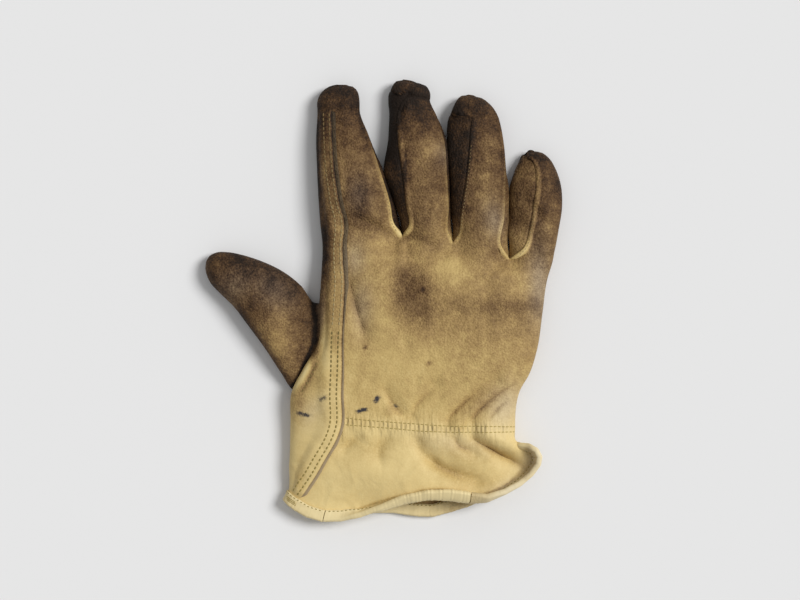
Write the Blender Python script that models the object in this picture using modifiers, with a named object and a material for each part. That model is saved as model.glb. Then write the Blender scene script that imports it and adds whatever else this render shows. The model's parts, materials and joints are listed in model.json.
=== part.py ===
"""A worn leather work glove for the right hand, lying on its palm on a flat surface.

Run it with blender --background --python part.py, or from Blender's text editor.

The glove is cut and sewn from leather panels, and each panel is an object of its own: the palm, which
wraps round the thumb side to a lapped seam on the back; the back; three forked side walls between the
fingers; the thumb; and the binding round the hem, in two lengths. Fingers point along +Y, the thumb
along -X, and +Z is up from the surface that the palm rests on. Tables are in millimetres and degrees.

A table row is a section across the hand, a finger or the thumb, and smooth columns run through the rows.
A place on a section is called a turn: 0 is its left edge, 0 to 1 runs over the top to its right edge,
1 to 2 runs back underneath, and 0 to -1 runs underneath from the left edge to the right one.
"""

import bpy
import bmesh
import numpy as np

MM = 0.001
CENTRE = (-0.15, -0.90, 0.0)         # of the whole glove's box, in the tables' millimetres
LEATHER = 1.2            # wall of the body leather
SEAM_GAP = 0.3           # between two pieces at a seam
BINDING_LEATHER = 1.1    # wall of the hem binding
BINDING_WIDTH = 5.0      # how far the binding laps onto the panel
BINDING_MOST = 0.45      # the most of the way to the next key row that the binding may take
LAP_RISE = 1.6           # how far the palm's lapped edge is raised, to lie on top of the back
WRAP_AT = (0.0, 3.0, 5.5, 8.5)       # the palm's first columns from its lapped edge: three are raised
WRAP_MOST = (0.0, 0.2, 0.4, 0.65)    # and the most of the way to the thumb side that each may be
CORNER = 8.0             # radius across of the rounded lower corners of a section
HAND_FULLNESS = 2.6      # how square the top of a section is: 2 is an ellipse
FINGER_FULLNESS = 2.2
HOLE_WIDTH = 8.0         # how far the thumb hole reaches in under the hand
HOLE_MARGIN = 3.0        # and how far past it the palm's next column of faces starts
HOLE_MOST = 0.35         # the most of the index's underside that the two may take
OUTER_SEAM = 1.005       # the turn of the seam down the side of the hand, below the little finger
TRACE = 241              # points that trace each half of a section
ROW_SPACING = 7.5        # rough length of a face along a finger


def table(columns, *rows):
    """One array for each named column."""
    names = columns.split()
    return {name: np.array([row[k] for row in rows], float) for k, name in enumerate(names)}


# The hand, from halfway down the cuff, past the wrist seam, up to the knuckles. lap_x is where the
# palm's lapped edge runs on the back, and bow is how far the row's middle is pushed forward.
HAND = table(
    "left_x left_y right_x right_y top left_side right_side lap_x bow",
    (-51.6, -91.0, 74.2, -78.2, 15.0,  6.0, 7.0, -35.6, -9.0),
    (-50.9, -68.8, 71.2, -72.1, 16.0,  7.0, 7.0, -23.2,  0.0),
    (-50.3, -52.3, 75.2, -50.6, 17.5,  8.5, 7.0, -23.1,  0.0),
    (-43.7, -39.1, 80.0, -41.3, 19.0, 10.5, 7.0, -22.9,  0.0),
    (-35.4, -24.5, 84.2, -28.1, 20.5, 12.0, 7.0, -22.5,  0.0),
    (-34.6,  -1.5, 87.3,  -7.2, 21.0, 12.0, 7.0, -21.3,  0.0),
    (-33.6,  14.5, 89.9,  11.0, 20.0,  9.0, 7.0, -20.6,  0.0),
    (-33.1,  31.0, 93.1,  22.0, 18.0,  7.5, 7.0, -21.6,  0.0),
)
HOLE_FROM, HOLE_TO = 2, 5            # the rows of the hand between which the thumb hole opens

# The last row, at the knuckles, runs forward and dips where two fingers part.
KNUCKLES = table(
    "along forward dip",
    (0.000,  0.0, 0.0),
    (0.170,  4.5, 0.0),
    (0.343,  7.2, 4.5),
    (0.455,  6.5, 0.0),
    (0.565,  4.9, 4.0),
    (0.690,  1.5, 0.0),
    (0.813, -1.4, 4.5),
    (0.910,  0.3, 0.0),
    (1.000,  0.0, 0.0),
)
PARTINGS = (0.343, 0.565, 0.813)

# Each finger, from just past its root to its tip. The last four columns are the turns of its seams.
FINGER_COLUMNS = "left_x left_y right_x right_y top side bottom back_left back_right palm_left palm_right"
FINGERS = {
    "index": table(
        FINGER_COLUMNS,
        (-34.2,  41.0,   7.0,  41.0, 17.0, 7.0, 1.2, 0.286, 0.95, 0.286, 1.05),
        (-35.1,  53.0,   4.4,  53.0, 16.5, 7.0, 1.2, 0.288, 0.95, 0.288, 1.07),
        (-36.1,  72.0,  -1.7,  72.0, 15.0, 6.5, 1.2, 0.245, 0.95, 0.245, 1.08),
        (-36.6,  91.0,  -8.4,  91.0, 13.5, 6.0, 1.2, 0.268, 0.95, 0.268, 1.08),
        (-35.9, 104.5, -13.8, 104.5, 12.5, 5.5, 1.2, 0.285, 0.96, 0.285, 1.06),
        (-36.0, 110.0, -14.0, 110.0, 12.0, 5.5, 1.6, 0.275, 0.97, 0.275, 1.03),
        (-33.9, 114.6, -15.0, 114.6, 10.5, 5.4, 2.4, 0.25, 0.98, 0.25, 1.02),
        (-30.2, 117.4, -17.3, 117.4,  8.0, 5.3, 3.6, 0.25, 0.98, 0.25, 1.02),
        (-26.4, 118.5, -19.9, 118.5,  5.6, 5.2, 4.8, 0.25, 0.98, 0.25, 1.02),
    ),
    "middle": table(
        FINGER_COLUMNS,
        ( 11.3,  40.5,  35.6,  37.0, 18.0, 7.0, 1.2, 0.137, 0.96, -0.05, 1.05),
        (  7.8,  52.5,  36.0,  50.0, 17.5, 7.0, 1.2, 0.19, 0.96, -0.10, 1.08),
        (  1.2,  71.5,  35.4,  69.0, 16.5, 6.5, 1.2, 0.274, 0.96, -0.10, 1.08),
        (  2.6,  91.0,  33.6,  88.5, 15.0, 6.5, 1.2, 0.206, 0.96, -0.10, 1.08),
        (  3.1, 104.0,  28.8, 102.5, 13.0, 6.0, 1.2, 0.174, 0.96, -0.08, 1.06),
        (  3.1, 112.5,  25.2, 110.0, 12.0, 5.5, 1.6, 0.10, 0.97, -0.03, 1.03),
        (  4.6, 117.5,  25.2, 114.6, 10.5, 5.4, 2.4, 0.04, 0.98, -0.01, 1.02),
        (  6.6, 120.6,  23.2, 118.0,  8.0, 5.3, 3.6, 0.02, 0.98, -0.01, 1.02),
        (  9.4, 121.9,  17.0, 120.6,  5.6, 5.2, 4.8, 0.02, 0.98, -0.02, 1.02),
    ),
    "ring": table(
        FINGER_COLUMNS,
        ( 40.6,  36.0,  66.4,  28.5, 17.5, 7.0, 1.2, 0.06, 0.91, -0.05, 1.05),
        ( 38.6,  48.5,  68.2,  45.5, 17.0, 7.0, 1.2, 0.16, 0.92, -0.10, 1.08),
        ( 37.6,  68.5,  68.4,  67.0, 16.0, 6.5, 1.2, 0.278, 0.94, -0.10, 1.08),
        ( 36.5,  86.0,  66.9,  84.5, 15.0, 6.5, 1.2, 0.37, 0.96, -0.10, 1.08),
        ( 36.3,  98.5,  64.6,  97.5, 13.5, 6.0, 1.2, 0.437, 0.96, -0.07, 1.05),
        ( 38.4, 105.8,  61.8, 104.0, 12.5, 5.5, 1.6, 0.36, 0.97, -0.03, 1.03),
        ( 40.8, 110.0,  58.2, 108.2, 10.5, 5.4, 2.4, 0.15, 0.98, -0.01, 1.02),
        ( 43.2, 112.4,  54.4, 111.0,  8.0, 5.3, 3.6, 0.04, 0.98, -0.01, 1.02),
        ( 45.8, 113.2,  50.8, 112.6,  5.6, 5.2, 4.8, 0.02, 0.98, -0.02, 1.02),
    ),
    "little": table(
        FINGER_COLUMNS,
        ( 72.5,  28.5,  93.9,  26.5, 15.5, 7.0, 1.2, 0.26, 1.03, -0.05, 1.03),
        ( 70.9,  38.5,  96.2,  38.5, 15.0, 7.0, 1.2, 0.41, 1.03, -0.10, 1.03),
        ( 71.2,  51.0,  98.2,  52.0, 14.5, 6.5, 1.2, 0.45, 1.03, -0.10, 1.03),
        ( 71.2,  62.5,  97.5,  63.5, 13.5, 6.0, 1.2, 0.52, 1.03, -0.08, 1.03),
        ( 73.2,  70.5,  94.5,  72.5, 12.0, 5.6, 1.4, 0.53, 1.03, -0.05, 1.03),
        ( 75.4,  76.0,  91.6,  77.4, 10.5, 5.4, 2.2, 0.45, 1.02, -0.03, 1.02),
        ( 77.4,  79.9,  88.0,  80.4,  8.0, 5.3, 3.6, 0.15, 1.01, -0.02, 1.01),
        ( 79.8,  82.2,  83.8,  82.4,  5.6, 5.2, 4.8, 0.04, 1.01, -0.02, 1.01),
    ),
}

# The thumb, from just outside the edge of the hand to its tip. Its right edge is the one near the index.
THUMB = table(
    "left_x left_y right_x right_y top side bottom",
    (-49.5, -50.2, -39.0,  -3.2,  9.5, 4.8, 1.2),
    (-56.6, -40.3, -47.2,   6.8, 13.5, 6.0, 1.2),
    (-65.1, -27.3, -58.3,  15.2, 15.5, 6.5, 1.2),
    (-74.5, -14.5, -68.9,  20.1, 15.5, 6.5, 1.2),
    (-83.6,  -2.7, -79.8,  23.6, 14.5, 6.0, 1.2),
    (-90.9,   4.3, -87.5,  25.0, 13.0, 5.5, 1.4),
    (-95.8,   9.6, -93.2,  24.8, 11.0, 5.4, 2.2),
    (-97.9,  14.2, -96.6,  23.1,  8.5, 5.3, 3.6),
    (-98.5,  17.2, -98.1,  20.6,  5.6, 5.2, 4.8),
)
HOLE_GAP = 0.9           # between the thumb and the hole's lower edge, where the seam turns under
THUMB_TUCK = ((0.7, 1.0, -2.0), (0.7, -1.8, -2.0))   # from the hole's two upper corners to the thumb's root

# The hem of the back, from the lapped seam round to the little finger's side. share is the part of the
# panel's width, faces is the way the edge faces in plan, and lift is how far it turns up from the panel.
BACK_HEM = table(
    "share x y z faces lift",
    (0.000, -50.0, -116.3,  8.2, -115,   0),
    (0.045, -43.5, -120.3,  8.4, -108,   5),
    (0.100, -34.4, -123.1,  8.6,  -98,  10),
    (0.165, -24.0, -122.9,  9.6,  -88,  30),
    (0.235, -13.2, -120.5, 12.5,  -78,  75),
    (0.310,  -2.0, -116.3, 15.8,  -70, 110),
    (0.395,  10.0, -112.4, 18.2,  -76, 120),
    (0.490,  24.0, -110.0, 19.8,  -85, 122),
    (0.580,  38.0, -109.8, 20.2,  -93, 122),
    (0.650,  49.0, -111.3, 19.4,  -93, 118),
    (0.705,  57.5, -110.9, 18.2,  -82, 106),
    (0.765,  67.0, -107.9, 16.8,  -70,  98),
    (0.820,  75.5, -103.9, 15.6,  -58,  94),
    (0.865,  82.2,  -98.2, 14.6,  -42,  88),
    (0.900,  85.4,  -93.6, 13.6,  -34,  74),
    (0.934,  86.8,  -89.8, 12.8,  -34,  46),
    (0.968,  86.9,  -86.6, 11.4,  -38,  12),
    (1.000,  86.3,  -84.4,  8.8,  -42,  -8),
)

# The hem of the palm, from the lapped seam round the thumb side and underneath to the same place.
PALM_HEM = table(
    "share x y z faces lift",
    (0.000, -50.0, -116.3, 8.2, -115,  0),
    (0.100, -52.6, -114.4, 7.9, -120,  0),
    (0.170, -54.0, -112.8, 6.8, -124,  0),
    (0.200, -54.4, -112.3, 5.6, -125,  0),
    (0.230, -53.8, -112.9, 4.3, -122,  0),
    (0.270, -51.0, -114.9, 3.5, -114,  0),
    (0.340, -42.0, -118.4, 3.3, -102,  0),
    (0.430, -26.0, -119.6, 3.3,  -92,  0),
    (0.520, -10.0, -118.4, 3.3,  -88,  2),
    (0.600,   5.0, -118.4, 3.3,  -88,  6),
    (0.660,  17.0, -120.2, 3.5,  -88, 10),
    (0.710,  27.0, -120.6, 3.6,  -85, 12),
    (0.760,  37.0, -118.0, 3.5,  -76, 10),
    (0.820,  48.0, -114.6, 3.4,  -66,  7),
    (0.870,  62.0, -107.0, 3.4,  -52,  5),
    (0.920,  73.0,  -98.0, 3.7,  -45,  5),
    (0.960,  80.5,  -91.0, 5.0,  -42,  4),
    (0.985,  84.4,  -86.8, 7.2,  -42,  0),
    (1.000,  86.1,  -84.6,  8.5,  -42,  -8),
)
WRAP_SHARE = 0.2         # the share of the palm's hem at which it turns under the thumb side
ROUNDING = 0.75          # how far out the binding's rounded corners lie
HEM_PULL = 1.1           # how firmly the hem's own direction bends the panel above it
SHARPEST_MITRE = 0.6     # keeps the binding's corner from running out to a spike
CORNER_TRIM = 0.3        # the share of the binding's width by which that corner of both panels is cut back
BINDING_JOINTS = (-34.0, 48.7)   # where, across the back, the two lengths of binding meet

# Broad folds of the upper side: ridges where height is over 0, troughs where it is under 0.
FOLDS = table(
    "from_x from_y to_x to_y half_width height",
    ( 34.0, -68.0,  62.0, -40.0, 6.0, -2.4),
    ( 48.0, -68.0,  74.0, -42.0, 6.0, -2.6),
    ( 49.0, -79.0,  72.0, -91.0, 6.0, -3.6),
    ( 57.0, -75.5,  74.0, -83.5, 5.0,  2.2),
    ( 38.0, -78.0,  46.0, -85.0, 5.0, -1.4),
    ( 28.0, -91.0,  50.0, -101.0, 6.0, -1.5),
    (-19.0,  10.0, -11.0, -19.0, 5.0, -1.4),
    (-22.0,  43.0,   6.0,  33.0, 6.0, -1.5),
    ( 26.0,  28.0,  12.0,  10.0, 9.0, -1.6),
    ( 84.0,  32.0,  74.0,  44.0, 5.0, -1.4),
    ( 60.0,   4.0,  86.0,   2.0, 7.0, -1.2),
)
FOLD_FLOOR, FOLD_FULL = 6.0, 10.0    # heights between which the folds fade in

HEM_STEPS = 6
HAND_STEPS = 2
BACK_FACES = {"index": 5, "middle": 5, "ring": 5, "little": 7}
PALM_FACES = {"index": 4, "middle": 4, "ring": 4, "little": 5}
SIDE_FACES = 3


# ---------------------------------------------------------------- sections

def section(left, right, top, left_side, right_side, bottom, fullness=FINGER_FULLNESS):
    """(points, turns) that trace one closed section, for turns from -1 to 2."""
    swing = np.linspace(0, np.pi, TRACE)
    over = (1 - np.sign(np.cos(swing)) * np.abs(np.cos(swing)) ** (2 / fullness)) / 2
    rise = np.sin(swing).clip(0) ** (2 / fullness)
    under = (1 - np.cos(swing)) / 2
    corner = min(CORNER / np.hypot(*np.subtract(right, left)), 0.5)
    to_edge = (np.minimum(under, 1 - under) / corner).clip(0, 1)
    fall = np.sqrt(1 - (1 - to_edge) ** 2)

    def placed(along, shape, reach):
        flat = left + np.outer(along, np.subtract(right, left))
        side = left_side + (right_side - left_side) * along
        return np.column_stack([flat, side + (reach - side) * shape])

    upper, lower = placed(over, rise, top), placed(under, fall, bottom)
    return (np.concatenate([lower[:0:-1], upper[:-1], lower[::-1]]),
            np.concatenate([-under[:0:-1], over[:-1], 2 - under[::-1]]))


def eased(x, xs, ys):
    """A curve through (xs, ys) that is level at each of them."""
    k = np.clip(np.searchsorted(xs, x) - 1, 0, len(xs) - 2)
    t = ((x - xs[k]) / (xs[k + 1] - xs[k])).clip(0, 1)
    return ys[k] + (ys[k + 1] - ys[k]) * t * t * (3 - 2 * t)


def hand_section(row):
    """The section of one row of the hand, and the turn at which the lapped edge crosses it."""
    at = {name: column[row] for name, column in HAND.items()}
    points, turns = section(
        (at["left_x"], at["left_y"]), (at["right_x"], at["right_y"]),
        at["top"], at["left_side"], at["right_side"], LEATHER, HAND_FULLNESS)
    along = np.where(turns < 0, -turns, np.where(turns > 1, 2 - turns, turns))
    points[:, 1] += at["bow"] * np.sin(np.pi * along)
    if row == len(HAND["top"]) - 1:
        points[:, 1] += eased(along, KNUCKLES["along"], KNUCKLES["forward"])
        over = (turns >= 0) & (turns <= 1)
        points[over, 2] -= eased(along[over], KNUCKLES["along"], KNUCKLES["dip"])
    return (points, turns), (at["lap_x"] - at["left_x"]) / (at["right_x"] - at["left_x"])


def finger_section(rows, row, shift=0.0):
    at = {name: column[row] for name, column in rows.items()}
    side = at["side"] + shift
    return section((at["left_x"], at["left_y"]), (at["right_x"], at["right_y"]),
                   at["top"] + shift, side, side, at["bottom"] + shift)


def path(ring, start, end):
    """(points, lengths along them) of the stretch of a section from one turn to another."""
    points, turns = ring
    steps = np.linspace(start, end, TRACE)
    line = np.column_stack([np.interp(steps, turns, points[:, k]) for k in range(3)])
    return line, np.concatenate([[0], np.cumsum(np.linalg.norm(np.diff(line, axis=0), axis=1))])


def at_lengths(line, lengths, places):
    return np.column_stack([np.interp(places, lengths, line[:, k]) for k in range(3)])


def spread(ring, start, end, faces, gap_start=0.0, gap_end=0.0):
    """faces + 1 points, evenly along a section from one turn to another, less a gap at each end."""
    line, lengths = path(ring, start, end)
    return at_lengths(line, lengths, np.linspace(gap_start, lengths[-1] - gap_end, faces + 1))


def wrap(ring, lap):
    """The palm's columns from its lapped edge to the thumb side."""
    line, lengths = path(ring, lap, 0)
    places = np.minimum(WRAP_AT, np.multiply(WRAP_MOST, lengths[-1]))
    return at_lengths(line, lengths, np.append(places, lengths[-1]))


def across(ring, panel, finger, start, end, gap_start, gap_end):
    """The points of one finger's columns on one section. The index has the lapped edge at its left."""
    if panel == "back":
        columns = spread(ring, start, end, BACK_FACES[finger], gap_start, gap_end)
        return columns if finger != "index" else np.concatenate([wrap(ring, start)[1:2], columns])
    if finger != "index":
        return spread(ring, start, end, PALM_FACES[finger], gap_start, gap_end)
    line, lengths = path(ring, 0, end)
    hole = min(HOLE_WIDTH + HOLE_MARGIN, HOLE_MOST * lengths[-1])
    places = [hole / 2, *np.linspace(hole, lengths[-1] - gap_end, PALM_FACES[finger] + 1)]
    return np.concatenate([wrap(ring, start), at_lengths(line, lengths, places)])


EDGE_COLUMN, HOLE_COLUMN = len(WRAP_AT), len(WRAP_AT) + 2   # of the palm at the index: the hole's two sides


# ---------------------------------------------------------------- columns through the sections

def reaches(keys):
    return np.linalg.norm(np.diff(keys, axis=0), axis=2).clip(1e-6)[..., None]


def headings(keys):
    """The direction in which each column runs through each of its key points."""
    reach = reaches(keys)
    slope = np.diff(keys, axis=0) / reach
    inner = (slope[:-1] * reach[1:] + slope[1:] * reach[:-1]) / (reach[1:] + reach[:-1])
    return np.concatenate([slope[:1], inner, slope[-1:]])


def run(keys, steps, leaving, arriving):
    """Rows of points along smooth columns. steps has the places between two key rows, from 0 to 1."""
    reach = reaches(keys)
    rows = [keys[:1]]
    for k, t in enumerate(steps):
        start, end = keys[k], keys[k + 1]
        rows.append(
            start * (1 + 2 * t) * (1 - t) ** 2 + end * t * t * (3 - 2 * t)
            + leaving[k] * reach[k] * t * (1 - t) ** 2 - arriving[k + 1] * reach[k] * t * t * (1 - t))
    return np.concatenate(rows)


def even(count):
    return (np.arange(1, count + 1) / count)[:, None, None]


def hem_steps(keys):
    """Places from the hem up, the first of them at the binding's width."""
    first = (BINDING_WIDTH / reaches(keys)[0]).clip(0, BINDING_MOST)
    return first + (1 - first) * np.linspace(0, 1, HEM_STEPS)[:, None, None]


def hem_keys(hem, share):
    """Where columns meet the hem, and the direction in which the panel leaves it."""
    x, y, z, faces, lift = (np.interp(share, hem["share"], hem[name])
                            for name in ("x", "y", "z", "faces", "lift"))
    faces, lift = np.radians(faces), np.radians(lift)
    outward = np.column_stack([np.cos(faces) * np.cos(lift), np.sin(faces) * np.cos(lift), np.sin(lift)])
    return np.column_stack([x, y, z]), -outward * HEM_PULL


def hand_keys(panel):
    """Key rows over the hand, from the hem to the knuckles, the hem's directions, and each finger's columns."""
    ends = {"back": (*PARTINGS, OUTER_SEAM), "palm": (*(-p for p in PARTINGS), OUTER_SEAM - 2)}[panel]
    rows = []
    for row in range(len(HAND["top"])):
        ring, lap = hand_section(row)
        starts = (lap, *ends[:-1])
        gaps = (0, 0, 0, SEAM_GAP / 2)
        parts = [across(ring, panel, finger, start, end, 0, gap)
                 for finger, start, end, gap in zip(FINGERS, starts, ends, gaps)]
        rows.append(np.concatenate([parts[0], *(part[1:] for part in parts[1:])]))
    last = np.cumsum([len(part) - 1 for part in parts])
    columns = {finger: slice(end - len(part) + 1, end + 1)
               for finger, end, part in zip(FINGERS, last, parts)}

    lengths = np.concatenate([[0], np.cumsum(np.linalg.norm(np.diff(rows[0], axis=0), axis=1))])
    if panel == "back":
        share = ((lengths - lengths[1]) / (lengths[-1] - lengths[1])).clip(0, 1)
        place, inward = hem_keys(BACK_HEM, share)
    else:
        edge = lengths[EDGE_COLUMN]
        share = np.where(lengths < edge, WRAP_SHARE * lengths / edge,
                         WRAP_SHARE + (1 - WRAP_SHARE) * (lengths - edge) / (lengths[-1] - edge))
        place, inward = hem_keys(PALM_HEM, share)
    return np.stack([place, *rows]), inward, columns


def finger_steps(finger):
    """Places between the key rows of a finger, the knuckles first."""
    rows = FINGERS[finger]
    middle = np.column_stack([rows["left_x"] + rows["right_x"], rows["left_y"] + rows["right_y"]]) / 2
    lengths = np.linalg.norm(np.diff(middle, axis=0), axis=1)
    return [even(1), *(even(max(1, round(length / ROW_SPACING))) for length in lengths)]


def finger_keys(panel, finger):
    rows, keys = FINGERS[finger], []
    tip = len(rows["top"]) - 1
    half = SEAM_GAP / 2
    for row in range(tip + 1):
        shift = half * (row == tip) * (1 if panel == "back" else -1)
        ring = finger_section(rows, row, shift)
        start, end = rows[panel + "_left"][row], rows[panel + "_right"][row]
        end = end if panel == "back" else end - 2
        keys.append(across(ring, panel, finger, start, end, half * (finger != "index"), half))
    return np.stack(keys)


def panel_grids(panel):
    """The panel as one grid of points for each finger, from the hem to the fingertip."""
    hand, inward, columns = hand_keys(panel)
    knuckles = len(hand) - 1
    grids = {}
    for finger in FINGERS:
        keys = np.concatenate([hand[:, columns[finger]], finger_keys(panel, finger)])
        leaving = headings(keys)
        arriving = leaving.copy()
        for column, parted in ((0, finger != "index"), (-1, finger != "little")):
            if parted:
                below = headings(keys[:knuckles + 1, column][:, None])[:, 0]
                above = headings(keys[knuckles:, column][:, None])[:, 0]
                leaving[:knuckles, column], arriving[:knuckles + 1, column] = below[:-1], below
                leaving[knuckles:, column], arriving[knuckles + 1:, column] = above, above[1:]
        leaving[0] = inward[columns[finger]]
        steps = [hem_steps(keys), *[even(HAND_STEPS)] * (knuckles - 1), *finger_steps(finger)]
        grid = run(keys, steps, leaving, arriving)
        grid[..., 2] = grid[..., 2].clip(LEATHER)
        grids[finger] = folded(grid)
    lapped_edge(grids, panel)
    return grids


def folded(points):
    """Points with the broad folds of the upper side added."""
    points = points.copy()
    weight = ((points[..., 2] - FOLD_FLOOR) / (FOLD_FULL - FOLD_FLOOR)).clip(0, 1)
    start = np.column_stack([FOLDS["from_x"], FOLDS["from_y"]])
    along = np.column_stack([FOLDS["to_x"], FOLDS["to_y"]]) - start
    for a, d, half_width, height in zip(start, along, FOLDS["half_width"], FOLDS["height"]):
        off = points[..., :2] - a
        t = ((off @ d) / (d @ d)).clip(0, 1)
        away = np.linalg.norm(off - t[..., None] * d, axis=-1) / half_width
        points[..., 2] += height * np.exp(-away ** 2) * weight
    return points


def normals(grid):
    """Outward directions of a grid whose columns run left to right on top and its rows up the hand."""
    return unit(np.cross(np.gradient(grid, axis=1), np.gradient(grid, axis=0)))


def unit(vectors):
    return vectors / np.linalg.norm(vectors, axis=-1, keepdims=True).clip(1e-9)


def lapped_edge(grids, panel):
    """Raises the palm's lapped edge onto the back, and ends the back's tuck short of the binding."""
    grid = grids["index"]
    if panel == "back":
        grid[:3, 0] = grid[:3, 1]
        return
    butted = grid[:3, :2]
    grid[:3, 0] += unit(butted[:, 1] - butted[:, 0]) * SEAM_GAP
    outward = -normals(grid)
    grid[2:, :3] += LAP_RISE * outward[2:, :3]


# ---------------------------------------------------------------- side walls, thumb and binding

def side_wall(left_finger, right_finger, crotch):
    """Grids of the two limbs of a forked side wall, from the crotch up each finger."""
    limbs = []
    for finger, side in ((left_finger, "right"), (right_finger, "left")):
        rows = FINGERS[finger]
        line = np.linspace(crotch[0], crotch[1], SIDE_FACES + 1)
        keys = [line]
        for row in range(len(rows["top"]) - 1):
            ring = finger_section(rows, row)
            start, end = rows["back_" + side][row], rows["palm_" + side][row]
            keys.append(spread(ring, start, end, SIDE_FACES, SEAM_GAP / 2, SEAM_GAP / 2))
        keys = np.stack(keys)
        slope = headings(keys)
        grid = folded(run(keys, finger_steps(finger)[:-1], slope, slope))
        limbs.append(grid if side == "right" else grid[:, ::-1])
    return limbs


def crotch_line(back, palm):
    """The upper and lower ends of a side wall where two fingers part."""
    down = np.array([0, 0, SEAM_GAP])
    return back - down, palm + down


def thumb_grid(palm):
    """Rings of the thumb, from its root inside the hole in the palm to its tip."""
    hem_rows = HEM_STEPS + 1
    first, last = (hem_rows - 1 + HAND_STEPS * row for row in (HOLE_FROM, HOLE_TO))
    upper, corner, lower = (palm[first:last + 1, column]
                            for column in (EDGE_COLUMN, EDGE_COLUMN + 1, HOLE_COLUMN))
    share = np.linspace(0, 1, len(upper))[:, None]
    tuck = THUMB_TUCK[0] + share * np.subtract(THUMB_TUCK[1], THUMB_TUCK[0])
    upper, corner = upper + tuck, corner + tuck * (1, 1, 0)
    lower = lower + tuck * (0, 1, 0) - (HOLE_GAP, 0, 0)
    keys = [np.concatenate([corner[:1], upper, corner[-1:], lower[::-1]])]
    for row in range(len(THUMB["top"])):
        ring = finger_section(THUMB, row)
        keys.append(spread(ring, 0, 2, len(keys[0]))[:-1])
    keys = np.stack(keys)
    slope = headings(keys)
    lengths = reaches(keys).mean(axis=(1, 2))
    steps = [even(max(1, round(length / ROW_SPACING))) for length in lengths]
    grid = run(keys, steps, slope, slope)
    grid[..., 2] = grid[..., 2].clip(LEATHER)
    return grid


def binding_section(edge, inner, normal, inner_normal):
    """The U of the binding round one place on the hem."""
    out = unit(edge - inner)
    near, far = SEAM_GAP, SEAM_GAP + BINDING_LEATHER
    middle, half = edge + normal * LEATHER / 2, (LEATHER / 2 + far) * ROUNDING
    return np.array([
        inner + inner_normal * (LEATHER + near),
        inner + inner_normal * (LEATHER + far),
        edge + normal * (LEATHER + far),
        middle + normal * half + out * ROUNDING * far,
        middle + out * far,
        middle - normal * half + out * ROUNDING * far,
        edge - normal * far,
        inner - inner_normal * far,
        inner - inner_normal * near,
        edge - normal * near,
        edge - normal * near + out * near,
        edge + normal * (LEATHER + near) + out * near,
        edge + normal * (LEATHER + near),
    ])


TOWARDS_HEM = (1, 8)     # the faces of that section which run along a leg towards the hem


def hem_frames(grids, outward):
    """(edge, inner, normal, inner_normal) at each column of a panel. outward is 1 or -1."""
    edge = np.concatenate([grids["index"][:3], *(grids[f][:3, 1:] for f in list(FINGERS)[1:])], axis=1)
    mesh = bmesh.new()
    points = add_grid(mesh, edge)
    mesh.normal_update()
    normal = outward * np.array([[point.normal for point in row] for row in points])
    mesh.free()
    return [np.stack([edge[0, c], edge[1, c], normal[0, c], normal[1, c]])
            for c in range(1, edge.shape[1])]


def mitred(one, other):
    """The frame at the corner where two panels meet, with normals long enough to clear both."""
    normals = [(a + b) / max(1 + a @ b, SHARPEST_MITRE) for a, b in zip(one[2:], other[2:])]
    return np.concatenate([(one[:2] + other[:2]) / 2, normals])


def binding_lengths(back, palm):
    """The two lengths of binding, each as its sections from one joint round to the other."""
    upper, lower = hem_frames(back, 1), hem_frames(palm, -1)[::-1]
    frames = [*upper[:-1], mitred(upper[-1], lower[0]), *lower[1:]]
    sides = [1] * (len(upper) - 1) + [-1] * len(lower)
    loop = [binding_section(*frame) for frame in frames]
    first, second = (np.abs([frame[0][0] - joint for frame in upper]).argmin() for joint in BINDING_JOINTS)
    lengths = {"hem_binding_back": (loop[first:second + 1], sides[first:second]),
               "hem_binding_palm": (loop[second:] + loop[:first + 1], sides[second:] + sides[:first])}
    for rings, _ in lengths.values():
        for end, inner in ((0, 1), (-1, -2)):
            step = rings[inner] - rings[end]
            rings[end] = rings[end] + step * SEAM_GAP / 2 / np.linalg.norm(step[6])
    return lengths


# ---------------------------------------------------------------- objects

def material(name, colour, roughness):
    made = bpy.data.materials.new(name)
    made.use_nodes = True
    shader = made.node_tree.nodes["Principled BSDF"]
    shader.inputs["Base Color"].default_value = (*colour, 1)
    shader.inputs["Roughness"].default_value = roughness
    shader.inputs["Metallic"].default_value = 0
    return made


def add_grid(mesh, grid, closed=False, skipped=(), slant=None):
    """Adds a grid of points and its faces, as pairs of triangles. Columns of a closed grid meet.

    slant says which way each pair is divided, so that a piece which lies on a panel is divided as it is.
    """
    rows, columns = grid.shape[:2]
    points = [[mesh.verts.new((point - CENTRE) * MM) for point in row] for row in grid]
    for r in range(rows - 1):
        for c in range(columns if closed else columns - 1):
            if (r, c) in skipped:
                continue
            d = (c + 1) % columns
            corners = (points[r][c], points[r][d], points[r + 1][d], points[r + 1][c])
            if slant is not None and slant[r][c] < 0:
                corners = corners[1:] + corners[:1]
            mesh.faces.new(corners[:3])
            mesh.faces.new((corners[0], corners[2], corners[3]))
    return points


def make_object(collection, name, mesh, finish, wall=0.0):
    """An object from a bmesh. A wall makes it a shell: over 0 grows out of the faces, under 0 into them."""
    bmesh.ops.remove_doubles(mesh, verts=mesh.verts, dist=1e-6)
    bmesh.ops.dissolve_degenerate(mesh, edges=mesh.edges, dist=1e-6)
    data = bpy.data.meshes.new(name)
    mesh.to_mesh(data)
    mesh.free()
    data.shade_smooth()
    data.materials.append(finish)
    made = bpy.data.objects.new(name, data)
    collection.objects.link(made)
    if wall:
        shell = made.modifiers.new("Wall", "SOLIDIFY")
        shell.thickness = abs(wall) * MM
        shell.offset = 1 if wall > 0 else -1
    return made


def make_panel(collection, name, grids, finish, faces_up, skipped=()):
    mesh = bmesh.new()
    for finger, grid in grids.items():
        add_grid(mesh, grid, skipped=skipped if finger == "index" else ())
    if not faces_up:
        bmesh.ops.reverse_faces(mesh, faces=mesh.faces)
    return make_object(collection, name, mesh, finish, wall=LEATHER)


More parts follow.
